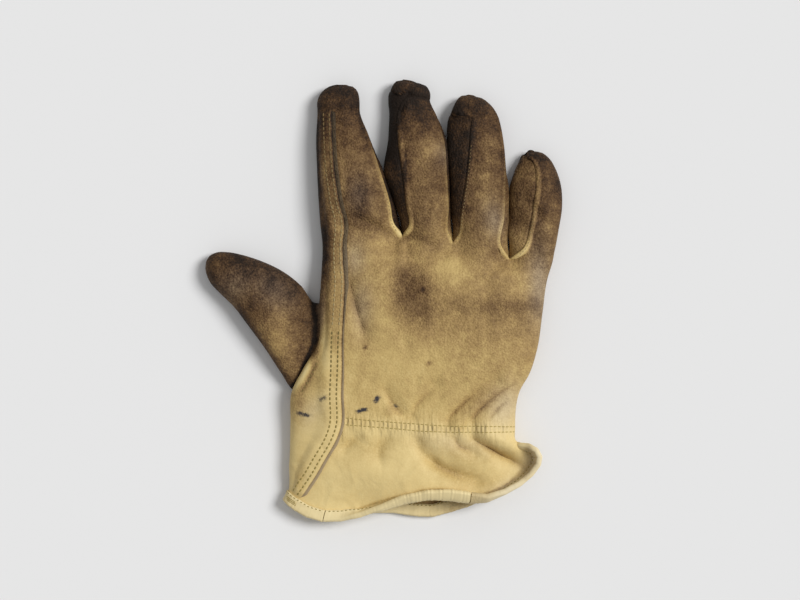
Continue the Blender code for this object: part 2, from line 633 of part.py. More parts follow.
def make_side_wall(collection, name, limbs, finish):
    mesh = bmesh.new()
    for limb in limbs:
        add_grid(mesh, limb)
    return make_object(collection, name, mesh, finish, wall=-LEATHER)


def make_thumb(collection, grid, finish):
    mesh = bmesh.new()
    points = add_grid(mesh, grid, closed=True)
    mesh.faces.new(points[-1])
    bmesh.ops.recalc_face_normals(mesh, faces=mesh.faces)
    return make_object(collection, "thumb", mesh, finish, wall=LEATHER)


def make_binding(collection, name, sections, sides, finish):
    mesh = bmesh.new()
    towards_hem = np.isin(np.arange(len(sections[0])), TOWARDS_HEM)
    slant = np.outer(sides, np.where(towards_hem, -1, 1))
    points = add_grid(mesh, np.stack(sections), closed=True, slant=slant)
    mesh.faces.new(points[0][::-1])
    mesh.faces.new(points[-1])
    bmesh.ops.recalc_face_normals(mesh, faces=mesh.faces)
    return make_object(collection, name, mesh, finish)


def main():
    for old in list(bpy.data.objects):
        bpy.data.objects.remove(old)
    glove = bpy.data.collections.new("work_glove")
    bpy.context.scene.collection.children.link(glove)
    tan = material("tan_grain_leather", (0.40, 0.29, 0.14), 0.65)
    soiled = material("soiled_grain_leather", (0.10, 0.07, 0.045), 0.7)
    cream = material("cream_binding_leather", (0.66, 0.55, 0.31), 0.6)

    back, palm = panel_grids("back"), panel_grids("palm")
    bindings = binding_lengths(back, palm)
    for panel in (back, palm):
        hem, inner = panel["little"][:2, -1]
        hem += (inner - hem) * CORNER_TRIM
    hole = {(row, column)
            for row in range(HEM_STEPS + HAND_STEPS * HOLE_FROM, HEM_STEPS + HAND_STEPS * HOLE_TO)
            for column in range(EDGE_COLUMN, HOLE_COLUMN)}
    make_panel(glove, "back", back, tan, faces_up=True)
    make_panel(glove, "palm", palm, tan, faces_up=False, skipped=hole)

    knuckle_row = HEM_STEPS + HAND_STEPS * (len(HAND["top"]) - 1)
    names = list(FINGERS)
    for left, right in zip(names, names[1:]):
        crotch = crotch_line(back[left][knuckle_row, -1], palm[left][knuckle_row, -1])
        make_side_wall(glove, f"side_wall_{left}_{right}", side_wall(left, right, crotch), soiled)
    make_thumb(glove, thumb_grid(palm["index"]), soiled)
    for name, (sections, sides) in bindings.items():
        make_binding(glove, name, sections, sides, cream)


main()
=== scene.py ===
"""A worn leather work glove for the right hand: the looks.

The plain solids of the frame are replaced by finer panels through the same sections, in the same places.
Tables are in millimetres and degrees, from a point near the middle of the glove, and CENTRE is the middle
of the glove's box. Fingers point along +Y, the thumb along -X, and +Z is up.

A table row is a section across the hand, a finger or the thumb, and smooth columns run through the rows.
A place on a section is called a turn: 0 is its left edge, 0 to 1 runs over the top to its right edge,
1 to 2 runs back underneath, and 0 to -1 runs underneath from the left edge to the right one.
"""

import json

import bmesh
import bpy
import numpy as np
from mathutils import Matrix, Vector, kdtree
from mathutils.bvhtree import BVHTree

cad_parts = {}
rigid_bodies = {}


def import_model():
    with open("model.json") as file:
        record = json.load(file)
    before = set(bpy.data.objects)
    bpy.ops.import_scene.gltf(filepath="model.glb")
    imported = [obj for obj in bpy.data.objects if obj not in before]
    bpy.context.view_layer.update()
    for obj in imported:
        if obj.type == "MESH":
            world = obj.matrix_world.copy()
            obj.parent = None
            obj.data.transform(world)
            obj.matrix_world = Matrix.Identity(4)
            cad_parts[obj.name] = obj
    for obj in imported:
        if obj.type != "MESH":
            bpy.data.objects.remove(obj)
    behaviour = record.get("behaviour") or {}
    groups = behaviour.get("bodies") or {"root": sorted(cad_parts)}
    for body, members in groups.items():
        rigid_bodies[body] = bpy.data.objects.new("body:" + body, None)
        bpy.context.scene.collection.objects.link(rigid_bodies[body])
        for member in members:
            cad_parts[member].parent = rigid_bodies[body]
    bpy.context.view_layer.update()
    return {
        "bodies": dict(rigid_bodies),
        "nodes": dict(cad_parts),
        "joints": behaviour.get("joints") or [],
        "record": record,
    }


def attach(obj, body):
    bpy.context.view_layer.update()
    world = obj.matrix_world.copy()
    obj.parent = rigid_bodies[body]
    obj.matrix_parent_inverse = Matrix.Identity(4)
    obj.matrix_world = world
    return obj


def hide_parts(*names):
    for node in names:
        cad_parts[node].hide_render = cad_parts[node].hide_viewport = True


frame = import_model()

MM = 0.001
CENTRE = np.array([-0.15, -0.90, 0.0])
TRACE = 241                          # points that trace a section
CORNER = 8.0                         # how far in from a section's edges its underside lies flat

LEATHER = 1.2                        # the leather's thickness, and the gap between two pieces at a seam
SEAM_GAP = 0.3
OUTER_SEAM = 1.005                   # the turn of the seam along the little finger's side
LAP_RISE = 1.6                       # how far the palm's lapped edge stands up on the back
WRAP_AT = (0.0, 3.5, 7.0, 14.0)      # where columns run beside that edge, and the most that each
WRAP_MOST = (0.0, 0.2, 0.4, 0.65)    # may be, as a share of the way round to the thumb side
WRAP_SHARE = 0.2                     # the share of the palm's hem that lies on the back

HOLE_WIDTH = 8.0                     # the thumb's hole in the palm, and the gap at its far side
HOLE_GAP = 0.9
THUMB_TUCK = ((0.7, 1.0, -2.0), (0.7, -1.8, -2.0))    # how the root's two ends are tucked into the hole

BINDING_LEATHER, BINDING_GAP = 0.85, 0.15    # the binding's thickness, and its gap from the leather
BINDING_WIDTH, BINDING_BULGE = 5.5, 1.15     # its width up each side, and how full its bend is
BINDING_JOINTS = (-34.0, 48.7)       # the x of the joints between its two lengths
SHARPEST_MITRE = 0.6                 # keeps its corners between two panels from running out to a spike


def table(columns, *rows):
    """One array for each named column."""
    names = columns.split()
    return {name: np.array([row[k] for row in rows], float) for k, name in enumerate(names)}


def row_of(columns, number):
    """One row of a table, by the names of its columns."""
    return {name: column[number] for name, column in columns.items()}


def rows_of(columns):
    """All rows of a table, each by the names of its columns."""
    return [row_of(columns, number) for number in range(len(next(iter(columns.values()))))]


def bell(away, width, power=2):
    """1 where away is 0, falling softly to 0 past a width."""
    return np.exp(-(away / width) ** power)


# The hand, from halfway down the cuff, past the wrist seam, up to the knuckles. lap_x is where the
# palm's lapped edge runs on the back, and bow is how far the row's middle is pushed forward.
HAND = table(
    "left_x left_y right_x right_y top left_side right_side lap_x bow",
    (-51.6, -91.0, 72.4, -79.2, 15.0,  6.0, 7.0, -35.6, -9.0),
    (-50.9, -68.8, 72.0, -71.6, 16.0,  7.0, 7.0, -24.4,  0.0),
    (-50.3, -52.3, 74.8, -50.6, 17.5,  8.5, 7.0, -24.4,  0.0),
    (-43.7, -39.1, 80.0, -41.3, 19.0, 10.5, 7.0, -23.8,  0.0),
    (-35.4, -24.5, 84.2, -28.1, 20.5, 12.0, 7.0, -23.6,  0.0),
    (-34.6,  -1.5, 87.3,  -7.2, 21.0, 12.0, 7.0, -22.7,  0.0),
    (-33.6,  14.5, 89.9,  11.0, 20.0,  9.0, 7.0, -22.6,  0.0),
    (-33.1,  31.0, 93.1,  22.0, 18.0,  7.5, 7.0, -23.0,  0.0),
)
HOLE_FROM, HOLE_TO = 2, 5            # the rows of the hand between which the thumb hole opens

# The last row, at the knuckles, runs forward and dips where two fingers part.
KNUCKLES = table(
    "along forward dip",
    (0.000,  0.0, 0.0),
    (0.170,  4.5, 0.0),
    (0.343,  7.2, 4.5),
    (0.455,  6.5, 0.0),
    (0.565,  4.9, 4.0),
    (0.690,  1.5, 0.0),
    (0.813, -1.4, 4.5),
    (0.910,  0.3, 0.0),
    (1.000,  0.0, 0.0),
)
PARTINGS = (0.343, 0.565, 0.813)

# Each finger, from just past its root to its tip. The last four columns are the turns of its seams.
FINGER_COLUMNS = "left_x left_y right_x right_y top side bottom back_left back_right palm_left palm_right"
FINGERS = {
    "index": table(
        FINGER_COLUMNS,
        (-34.2,  41.0,   7.0,  41.0, 17.0, 7.0, 1.2, 0.286, 0.95, 0.286, 1.05),
        (-35.1,  53.0,   4.4,  53.0, 16.5, 7.0, 1.2, 0.262, 0.95, 0.262, 1.07),
        (-36.1,  72.0,  -1.7,  72.0, 15.0, 6.5, 1.2, 0.245, 0.95, 0.245, 1.08),
        (-36.6,  91.0,  -8.4,  91.0, 13.5, 6.0, 1.2, 0.268, 0.95, 0.268, 1.08),
        (-35.9, 104.5, -13.8, 104.5, 12.5, 5.5, 1.2, 0.285, 0.96, 0.285, 1.06),
        (-36.0, 110.0, -14.0, 110.0, 12.0, 5.5, 1.6, 0.275, 0.97, 0.275, 1.03),
        (-33.9, 114.6, -15.0, 114.6, 10.5, 5.4, 2.4, 0.25, 0.98, 0.25, 1.02),
        (-30.2, 117.4, -17.3, 117.4,  8.0, 5.3, 3.6, 0.25, 0.98, 0.25, 1.02),
        (-26.4, 118.5, -19.9, 118.5,  5.6, 5.2, 4.8, 0.25, 0.98, 0.25, 1.02),
    ),
    "middle": table(
        FINGER_COLUMNS,
        ( 11.3,  40.5,  35.6,  37.0, 18.0, 7.0, 1.2, 0.137, 0.96, -0.05, 1.05),
        (  7.8,  52.5,  36.0,  50.0, 17.5, 7.0, 1.2, 0.19, 0.96, -0.10, 1.08),
        (  1.2,  71.5,  35.4,  69.0, 16.5, 6.5, 1.2, 0.274, 0.96, -0.10, 1.08),
        (  2.6,  91.0,  33.6,  88.5, 15.0, 6.5, 1.2, 0.206, 0.96, -0.10, 1.08),
        (  3.1, 104.0,  28.8, 102.5, 13.0, 6.0, 1.2, 0.174, 0.96, -0.08, 1.06),
        (  3.1, 112.5,  25.2, 110.0, 12.0, 5.5, 1.6, 0.10, 0.97, -0.03, 1.03),
        (  4.6, 117.5,  25.2, 114.6, 10.5, 5.4, 2.4, 0.04, 0.98, -0.01, 1.02),
        (  6.6, 120.6,  23.2, 118.0,  8.0, 5.3, 3.6, 0.02, 0.98, -0.01, 1.02),
        (  9.4, 121.9,  17.0, 120.6,  5.6, 5.2, 4.8, 0.02, 0.98, -0.02, 1.02),
    ),
    "ring": table(
        FINGER_COLUMNS,
        ( 40.6,  36.0,  66.4,  28.5, 17.5, 7.0, 1.2, 0.06, 0.91, -0.05, 1.05),
        ( 38.6,  48.5,  68.2,  45.5, 17.0, 7.0, 1.2, 0.16, 0.92, -0.10, 1.08),
        ( 37.6,  68.5,  68.4,  67.0, 16.0, 6.5, 1.2, 0.278, 0.94, -0.10, 1.08),
        ( 36.5,  86.0,  66.9,  84.5, 15.0, 6.5, 1.2, 0.37, 0.96, -0.10, 1.08),
        ( 36.3,  98.5,  64.6,  97.5, 13.5, 6.0, 1.2, 0.437, 0.96, -0.07, 1.05),
        ( 38.4, 105.8,  61.8, 104.0, 12.5, 5.5, 1.6, 0.36, 0.97, -0.03, 1.03),
        ( 40.8, 110.0,  58.2, 108.2, 10.5, 5.4, 2.4, 0.15, 0.98, -0.01, 1.02),
        ( 43.2, 112.4,  54.4, 111.0,  8.0, 5.3, 3.6, 0.04, 0.98, -0.01, 1.02),
        ( 45.8, 113.2,  50.8, 112.6,  5.6, 5.2, 4.8, 0.02, 0.98, -0.02, 1.02),
    ),
    "little": table(
        FINGER_COLUMNS,
        ( 72.5,  28.5,  93.9,  26.5, 15.5, 7.0, 1.2, 0.26, 1.03, -0.05, 1.03),
        ( 70.9,  38.5,  96.2,  38.5, 15.0, 7.0, 1.2, 0.41, 1.03, -0.10, 1.03),
        ( 71.2,  51.0,  98.2,  52.0, 14.5, 6.5, 1.2, 0.45, 1.03, -0.10, 1.03),
        ( 71.2,  62.5,  97.5,  63.5, 13.5, 6.0, 1.2, 0.52, 1.03, -0.08, 1.03),
        ( 73.2,  70.5,  94.5,  72.5, 12.0, 5.6, 1.4, 0.53, 1.03, -0.05, 1.03),
        ( 75.4,  76.0,  91.6,  77.4, 10.5, 5.4, 2.2, 0.45, 1.02, -0.03, 1.02),
        ( 77.4,  79.9,  88.0,  80.4,  8.0, 5.3, 3.6, 0.15, 1.01, -0.02, 1.01),
        ( 79.8,  82.2,  83.8,  82.4,  5.6, 5.2, 4.8, 0.04, 1.01, -0.02, 1.01),
    ),
}

# Where the seam between a finger's back and its left side wall runs, as turns, near the tip. Each place is
# a further row of the finger, unless one of its own is nearer than ROWS_APART.
TIP_SEAMS = {
    "middle": table(
        "y turn",
        ( 91.0, 0.19),
        (104.0, 0.20),
        (109.0, 0.30),
        (113.2, 0.46),
        (114.4, 0.44),
        (115.6, 0.06),
        (121.9, 0.02),
    ),
    "ring": table(
        "y turn",
        ( 86.0, 0.37),
        ( 98.0, 0.44),
        (100.4, 0.46),
        (101.4, 0.44),
        (102.6, 0.05),
        (113.2, 0.02),
    ),
}
ROWS_APART = 0.6

# The thumb, from just outside the edge of the hand to its tip. Its right edge is the one near the index.
THUMB = table(
    "left_x left_y right_x right_y top side bottom",
    (-49.5, -50.2, -39.0,  -3.2,  9.5, 4.8, 1.2),
    (-56.6, -40.3, -47.2,   6.8, 13.5, 6.0, 1.2),
    (-65.1, -27.3, -58.3,  15.2, 15.5, 6.5, 1.2),
    (-74.5, -14.5, -68.9,  20.1, 15.5, 6.5, 1.2),
    (-83.6,  -2.7, -79.8,  23.6, 14.5, 6.0, 1.2),
    (-90.9,   4.3, -87.5,  25.0, 13.0, 5.5, 1.4),
    (-95.8,   9.6, -93.2,  24.8, 11.0, 5.4, 2.2),
    (-97.9,  14.2, -96.6,  23.1,  8.5, 5.3, 3.6),
    (-98.5,  17.2, -98.1,  20.6,  5.6, 5.2, 4.8),
)

# The hem of the back, from the lapped seam round to the little finger's side. share is the part of the
# panel's width, faces is the way the edge faces in plan, and lift is how far it turns up from the panel.
BACK_HEM = table(
    "share x y z faces lift pull",
    (0.000, -50.0, -116.3,  8.2, -115,   0, 1.1),
    (0.045, -43.5, -120.3,  8.4, -108,   5, 1.1),
    (0.100, -34.4, -123.1,  8.6,  -98,  10, 1.1),
    (0.165, -24.0, -122.9,  9.6,  -88,  30, 1.1),
    (0.235, -13.2, -120.5, 12.5,  -78,  80, 1.3),
    (0.310,  -2.0, -116.0, 15.8,  -72, 122, 1.8),
    (0.395,  10.0, -110.4, 18.2,  -76, 142, 2.4),
    (0.490,  24.0, -107.2, 19.6,  -85, 150, 2.7),
    (0.580,  38.0, -106.8, 19.8,  -93, 150, 2.7),
    (0.650,  49.0, -108.6, 19.2,  -93, 142, 2.4),
    (0.705,  57.5, -109.9, 18.2,  -82, 126, 1.9),
    (0.765,  67.0, -107.3, 16.8,  -70, 108, 1.6),
    (0.820,  75.5, -103.0, 15.8,  -58,  98, 1.6),
    (0.865,  82.0,  -97.6, 15.2,  -42,  92, 1.8),
    (0.905,  86.2,  -92.0, 15.0,  -20,  88, 2.0),
    (0.935,  87.0,  -87.6, 15.0,   10,  86, 2.2),
    (0.960,  85.0,  -83.6, 14.8,   50,  82, 2.2),
    (0.980,  80.4,  -81.0, 12.8,   84,  70, 2.0),
    (1.000,  74.2,  -80.6,  8.4,  100,  20, 1.4),
)

# The hem of the palm, from the lapped seam round the thumb side and underneath to the same place.
PALM_HEM = table(
    "share x y z faces lift pull",
    (0.000, -50.0, -116.3, 8.2, -115,  0, 1.1),
    (0.100, -52.6, -114.4, 7.9, -120,  0, 1.1),
    (0.170, -54.0, -112.8, 6.8, -124,  0, 1.1),
    (0.200, -54.4, -112.3, 5.6, -125,  0, 1.1),
    (0.230, -53.8, -112.9, 4.3, -122,  0, 1.1),
    (0.270, -51.0, -114.9, 3.5, -114,  0, 1.1),
    (0.340, -42.0, -118.4, 3.3, -102,  0, 1.1),
    (0.430, -26.0, -119.6, 3.3,  -92,  0, 1.1),
    (0.520, -10.0, -118.4, 3.3,  -88,  2, 1.1),
    (0.600,   5.0, -118.4, 3.3,  -88,  6, 1.1),
    (0.660,  17.0, -120.2, 3.5,  -88, 10, 1.1),
    (0.710,  27.0, -120.6, 3.6,  -85, 12, 1.1),
    (0.760,  37.0, -118.0, 3.5,  -76, 10, 1.1),
    (0.820,  48.0, -114.6, 3.4,  -66,  7, 1.1),
    (0.870,  62.0, -107.0, 3.4,  -52,  5, 1.1),
    (0.920,  73.0,  -98.0, 3.7,  -45,  5, 1.1),
    (0.950,  79.5,  -92.0, 4.6,  -42,  4, 1.1),
    (0.980,  80.4,  -86.0, 5.0,  -20,  0, 1.1),
    (1.000,  74.2,  -80.6, 6.2,   60, -8, 1.1),
)

# How finely the panels are drawn, as faces across or along each stretch.
HEM_STEPS = 24
BINDING_ROWS = 4
HAND_STEPS = 16
ROOT_STEPS = 8
ROW_SPACING = 1.25
BACK_FACES = {"index": 40, "middle": 40, "ring": 40, "little": 46}
PALM_FACES = {"index": 18, "middle": 16, "ring": 16, "little": 22}
SIDE_FACES = 12
HOLE_FACES = 8
WRAP_FACES = 8           # between each two of the places of WRAP_AT

# The palm's raw cut edge runs on past the lapped seam, onto the back: its width in mm up the glove.
STRIP = table(
    "y width",
    (-125.0, 0.9),
    (-100.0, 2.6),
    ( -60.0, 2.4),
    ( -20.0, 1.7),
    (   0.0, 2.0),
    (  12.0, 3.2),
    (  60.0, 2.7),
    ( 104.0, 2.6),
    ( 112.0, 0.9),
)
STRIP_FACES = 9
STRIP_AT_HEM = (2.3, -1.4, 0.0)      # from the lapped edge, along the back's hem
GROOVE_AT, GROOVE_WIDTH = 0.7, 0.62  # the stitched groove beside the raw strip
GROOVE_DEPTH, STRIP_DROP = 0.6, 0.35
LAP_THINS = ((0, 85, 104, 130), (1, 1, 0.7, 0.7))     # the share of its rise, up the glove
UNDER_CAP = (103.6, 105.2)           # where the lapped edge runs in under the index's cap
RISE_FROM, RISE_TO = 5.5, 11.0       # how far above the hem the lapped edge climbs onto the back


def grid_row(hand_row):
    """The row of the panels' grids that runs along a row of the hand."""
    return BINDING_ROWS - 1 + HEM_STEPS + HAND_STEPS * hand_row


LAST_HAND_ROW = len(HAND["top"]) - 1
KNUCKLE_ROW = grid_row(LAST_HAND_ROW)


# ---------------------------------------------------------------- sections

def with_tip_seams(finger, rows):
    """A finger's rows, with more of them where its back's left seam turns a corner."""
    if finger not in TIP_SEAMS:
        return rows
    seam = TIP_SEAMS[finger]
    own = rows["left_y"]
    extra = [y for y in seam["y"] if np.abs(own - y).min() > ROWS_APART]
    y = np.sort(np.append(own, extra))
    finer = {name: smooth_at(y, own, column) for name, column in rows.items()}
    finer["back_left"] = np.where(y < seam["y"][0], finer["back_left"], np.interp(y, seam["y"], seam["turn"]))
    return finer


def smooth_at(x, xs, ys):
    """A smooth curve through (xs, ys)."""
    slope = np.gradient(ys, xs)
    k = np.clip(np.searchsorted(xs, x, side="right") - 1, 0, len(xs) - 2)
    h = xs[k + 1] - xs[k]
    t = (x - xs[k]) / h
    return (ys[k] * (1 + 2 * t) * (1 - t) ** 2 + ys[k + 1] * t * t * (3 - 2 * t)
            + slope[k] * h * t * (1 - t) ** 2 - slope[k + 1] * h * t * t * (1 - t))


def section(left, right, top, left_side, right_side, bottom, fullness=2.2):
    """(points, turns) that trace one closed section, for turns from -1 to 2."""
    swing = np.linspace(0, np.pi, TRACE)
    over = (1 - np.sign(np.cos(swing)) * np.abs(np.cos(swing)) ** (2 / fullness)) / 2
    rise = np.sin(swing).clip(0) ** (2 / fullness)
    under = (1 - np.cos(swing)) / 2
    corner = min(CORNER / np.hypot(*np.subtract(right, left)), 0.5)
    to_edge = (np.minimum(under, 1 - under) / corner).clip(0, 1)
    fall = np.sqrt(1 - (1 - to_edge) ** 2)

    def placed(along, shape, reach):
        """Points along the section. shape is their share of the way from its edges' height to reach."""
        flat = left + np.outer(along, np.subtract(right, left))
        side = left_side + (right_side - left_side) * along
        return np.column_stack([flat, side + (reach - side) * shape])

    upper, lower = placed(over, rise, top), placed(under, fall, bottom)
    return (np.concatenate([lower[:0:-1], upper[:-1], lower[::-1]]),
            np.concatenate([-under[:0:-1], over[:-1], 2 - under[::-1]]))


def eased(x, xs, ys):
    """A curve through (xs, ys) that is level at each of them."""
    xs, ys = np.asarray(xs, float), np.asarray(ys, float)
    k = np.clip(np.searchsorted(xs, x) - 1, 0, len(xs) - 2)
    t = ((x - xs[k]) / (xs[k + 1] - xs[k])).clip(0, 1)
    return ys[k] + (ys[k + 1] - ys[k]) * t * t * (3 - 2 * t)


def hand_section(row):
    """The section of one row of the hand, and the turn at which the lapped edge crosses it."""
    at = row_of(HAND, row)
    points, turns = section(
        (at["left_x"], at["left_y"]), (at["right_x"], at["right_y"]),
        at["top"], at["left_side"], at["right_side"], LEATHER, fullness=2.6)
    along = np.where(turns < 0, -turns, np.where(turns > 1, 2 - turns, turns))
    points[:, 1] += at["bow"] * np.sin(np.pi * along)
    if row == LAST_HAND_ROW:
        points[:, 1] += eased(along, KNUCKLES["along"], KNUCKLES["forward"])
        over = (turns >= 0) & (turns <= 1)
        points[over, 2] -= eased(along[over], KNUCKLES["along"], KNUCKLES["dip"])
    return (points, turns), (at["lap_x"] - at["left_x"]) / (at["right_x"] - at["left_x"])


def finger_section(rows, row, shift=0.0):
    """The section of one row of a finger or the thumb, shifted up."""
    at = row_of(rows, row)
    side = at["side"] + shift
    return section((at["left_x"], at["left_y"]), (at["right_x"], at["right_y"]),
                   at["top"] + shift, side, side, at["bottom"] + shift)


def path(ring, start, end):
    """(points, lengths along them) of the stretch of a section from one turn to another."""
    points, turns = ring
    steps = np.linspace(start, end, TRACE)
    line = np.column_stack([np.interp(steps, turns, points[:, k]) for k in range(3)])
    return line, lengths_along(line)


def lengths_along(line):
    """How far along a line of points each of them is."""
    return np.concatenate([[0], np.cumsum(np.linalg.norm(np.diff(line, axis=0), axis=1))])


def at_lengths(line, lengths, places):
    """The points of a line at some distances along it."""
    return np.column_stack([np.interp(places, lengths, line[:, k]) for k in range(3)])


def spread(ring, start, end, faces, gap_start=0.0, gap_end=0.0):
    """faces + 1 points, evenly along a section from one turn to another, less a gap at each end."""
    line, lengths = path(ring, start, end)
    return at_lengths(line, lengths, np.linspace(gap_start, lengths[-1] - gap_end, faces + 1))


def wrap(ring, lap):
    """The palm's columns from its raw edge past the lapped seam to the thumb side."""
    line, lengths = path(ring, lap, 0)
    places = np.append(np.minimum(WRAP_AT, np.multiply(WRAP_MOST, lengths[-1])), lengths[-1])
    fine = np.interp(np.arange(EDGE_COLUMN - STRIP_FACES + 1) / WRAP_FACES, range(len(places)), places)
    beyond, along = path(ring, lap, lap + 0.15)
    width = np.interp(line[0, 1], STRIP["y"], STRIP["width"])
    strip = at_lengths(beyond, along, np.linspace(width, 0, STRIP_FACES + 1)[:-1])
    return np.concatenate([strip, at_lengths(line, lengths, fine)])


EDGE_COLUMN = STRIP_FACES + len(WRAP_AT) * WRAP_FACES
HOLE_COLUMN = EDGE_COLUMN + HOLE_FACES
RAISED_COLUMN = STRIP_FACES + 2 * WRAP_FACES         # the last column that is fully raised
EASED_COLUMN = STRIP_FACES + 3 * WRAP_FACES          # and the first that isn't raised at all


def across(ring, panel, finger, start, end, gap_start, gap_end):
    """The points of one finger's columns on one section. The index has the lapped edge at its left."""
    if panel == "back":
        columns = spread(ring, start, end, BACK_FACES[finger], gap_start, gap_end)
        if finger != "index":
            return columns
        return np.concatenate([wrap(ring, start)[STRIP_FACES + WRAP_FACES][None], columns])
    if finger != "index":
        return spread(ring, start, end, PALM_FACES[finger], gap_start, gap_end)
    line, lengths = path(ring, 0, end)
    hole = min(HOLE_WIDTH + 3, 0.35 * lengths[-1])
    places = [*np.linspace(0, hole, HOLE_FACES + 1)[1:],
              *np.linspace(hole, lengths[-1] - gap_end, PALM_FACES[finger] + 1)[1:]]
    return np.concatenate([wrap(ring, start), at_lengths(line, lengths, places)])


# ---------------------------------------------------------------- columns through the sections

def reaches(keys):
    """How far each column runs between its key points."""
    return np.linalg.norm(np.diff(keys, axis=0), axis=2).clip(1e-6)[..., None]


def headings(keys):
    """The direction in which each column runs through each of its key points."""
    reach = reaches(keys)
    slope = np.diff(keys, axis=0) / reach
    inner = (slope[:-1] * reach[1:] + slope[1:] * reach[:-1]) / (reach[1:] + reach[:-1])
    return np.concatenate([slope[:1], inner, slope[-1:]])


def run(keys, steps, leaving, arriving):
    """Rows of points along smooth columns. steps has the places between two key rows, from 0 to 1."""
    reach = reaches(keys)
    rows = [keys[:1]]
    for k, t in enumerate(steps):
        start, end = keys[k], keys[k + 1]
        rows.append(
            start * (1 + 2 * t) * (1 - t) ** 2 + end * t * t * (3 - 2 * t)
            + leaving[k] * reach[k] * t * (1 - t) ** 2 - arriving[k + 1] * reach[k] * t * t * (1 - t))
    return np.concatenate(rows)


def even(count):
    """Evenly spaced places between two key rows."""
    return (np.arange(1, count + 1) / count)[:, None, None]


def hem_steps(keys):
    """Places from the hem up, the first of them over the binding's width."""
    first = (BINDING_WIDTH / reaches(keys)[0]).clip(0, 0.45)
    lapped = first * (np.arange(1, BINDING_ROWS) / BINDING_ROWS)[:, None, None]
    return np.concatenate([lapped, first + (1 - first) * np.linspace(0, 1, HEM_STEPS)[:, None, None]])


def hem_keys(hem, share):
    """Where columns meet the hem, and the direction in which the panel leaves it."""
    x, y, z, faces, lift, pull = (np.interp(share, hem["share"], hem[name])
                                  for name in ("x", "y", "z", "faces", "lift", "pull"))
    faces, lift = np.radians(faces), np.radians(lift)
    outward = np.column_stack([np.cos(faces) * np.cos(lift), np.sin(faces) * np.cos(lift), np.sin(lift)])
    return np.column_stack([x, y, z]), -outward * pull[:, None]


def hand_keys(panel):
    """(key rows from the hem to the knuckles, the hem's directions, each finger's columns) of the hand."""
    ends = {"back": (*PARTINGS, OUTER_SEAM), "palm": (*(-p for p in PARTINGS), OUTER_SEAM - 2)}[panel]
    rows = []
    for row in range(len(HAND["top"])):
        ring, lap = hand_section(row)
        starts = (lap, *ends[:-1])
        gaps = (0, 0, 0, SEAM_GAP / 2)
        parts = [across(ring, panel, finger, start, end, 0, gap)
                 for finger, start, end, gap in zip(FINGERS, starts, ends, gaps)]
        rows.append(np.concatenate([parts[0], *(part[1:] for part in parts[1:])]))
    last = np.cumsum([len(part) - 1 for part in parts])
    columns = {finger: slice(end - len(part) + 1, end + 1)
               for finger, end, part in zip(FINGERS, last, parts)}

    lengths = lengths_along(rows[0])
    if panel == "back":
        share = ((lengths - lengths[1]) / (lengths[-1] - lengths[1])).clip(0, 1)
        place, inward = hem_keys(BACK_HEM, share)
    else:
        lengths = (lengths - lengths[STRIP_FACES]).clip(0)
        edge = lengths[EDGE_COLUMN]
        share = np.where(lengths < edge, WRAP_SHARE * lengths / edge,
                         WRAP_SHARE + (1 - WRAP_SHARE) * (lengths - edge) / (lengths[-1] - edge))
        place, inward = hem_keys(PALM_HEM, share)
        place[:STRIP_FACES] += np.outer(np.linspace(1, 0, STRIP_FACES + 1)[:-1], STRIP_AT_HEM)
    return np.stack([place, *rows]), inward, columns


def finger_steps(finger):
    """Places between the key rows of a finger, the knuckles first."""
    rows = FINGERS[finger]
    middle = np.column_stack([rows["left_x"] + rows["right_x"], rows["left_y"] + rows["right_y"]]) / 2
    lengths = np.linalg.norm(np.diff(middle, axis=0), axis=1)
    return [even(ROOT_STEPS), *(even(max(2, round(length / ROW_SPACING))) for length in lengths)]


# At the fingertips the palm's edge laps up over the back's, which is tucked in behind it.
TIP_LAP = {"back": (0.0, -1.2, -0.6), "palm": (0.0, -0.2, 1.9)}
TIP_FULLNESS = 0.3


def finger_keys(panel, finger):
    """Key rows over one finger, from its root to its tip."""
    rows, keys = FINGERS[finger], []
    tip = len(rows["top"]) - 1
    half = SEAM_GAP / 2
    for row in range(tip + 1):
        shift = half * (row == tip) * (1 if panel == "back" else -1)
        ring = finger_section(rows, row, shift)
        start, end = rows[panel + "_left"][row], rows[panel + "_right"][row]
        end = end if panel == "back" else end - 2
        keys.append(across(ring, panel, finger, start, end, half * (finger != "index"), half))
    swell = np.sin(np.linspace(0, np.pi, len(keys[tip]))).clip(0) ** TIP_FULLNESS
    keys[tip] = keys[tip] + np.outer(swell, TIP_LAP[panel])
    return np.stack(keys)


# Sewn seams stand up in a soft ridge: its height in mm at the left and the right side of each finger's back.
SEAM_RISE = {"index": (0.0, 0.8), "middle": (0.7, 0.45), "ring": (0.35, 0.8), "little": (0.8, 0.0)}
RIDGE_AT, RIDGE_WIDTH = 0.9, 0.8
RIDGE_ROWS, RIDGE_ENDS = (-2, 4), (7, 20)    # it fades in over these rows, and out this far from the tip


def raised_seams(grid, finger):
    """A finger's back with the ridges beside its two seams."""
    out = normals(grid)
    up = lengths_along(grid[:, grid.shape[1] // 2])
    past = np.arange(len(grid)) - KNUCKLE_ROW
    fade = np.interp(past, RIDGE_ROWS, (0, 1)) * np.interp(up[-1] - up, RIDGE_ENDS, (0, 1))
    for rise, way in zip(SEAM_RISE[finger], (1, -1)):
        away = np.stack([lengths_along(row[::way])[::way] for row in grid])
        ridge = rise * bell(away - RIDGE_AT, RIDGE_WIDTH) * fade[:, None]
        grid = grid + out * ridge[..., None]
    return grid


PARTED_COLUMNS = 4.0     # how many columns beside a crotch bend with it
FINGERS = {finger: with_tip_seams(finger, rows) for finger, rows in FINGERS.items()}


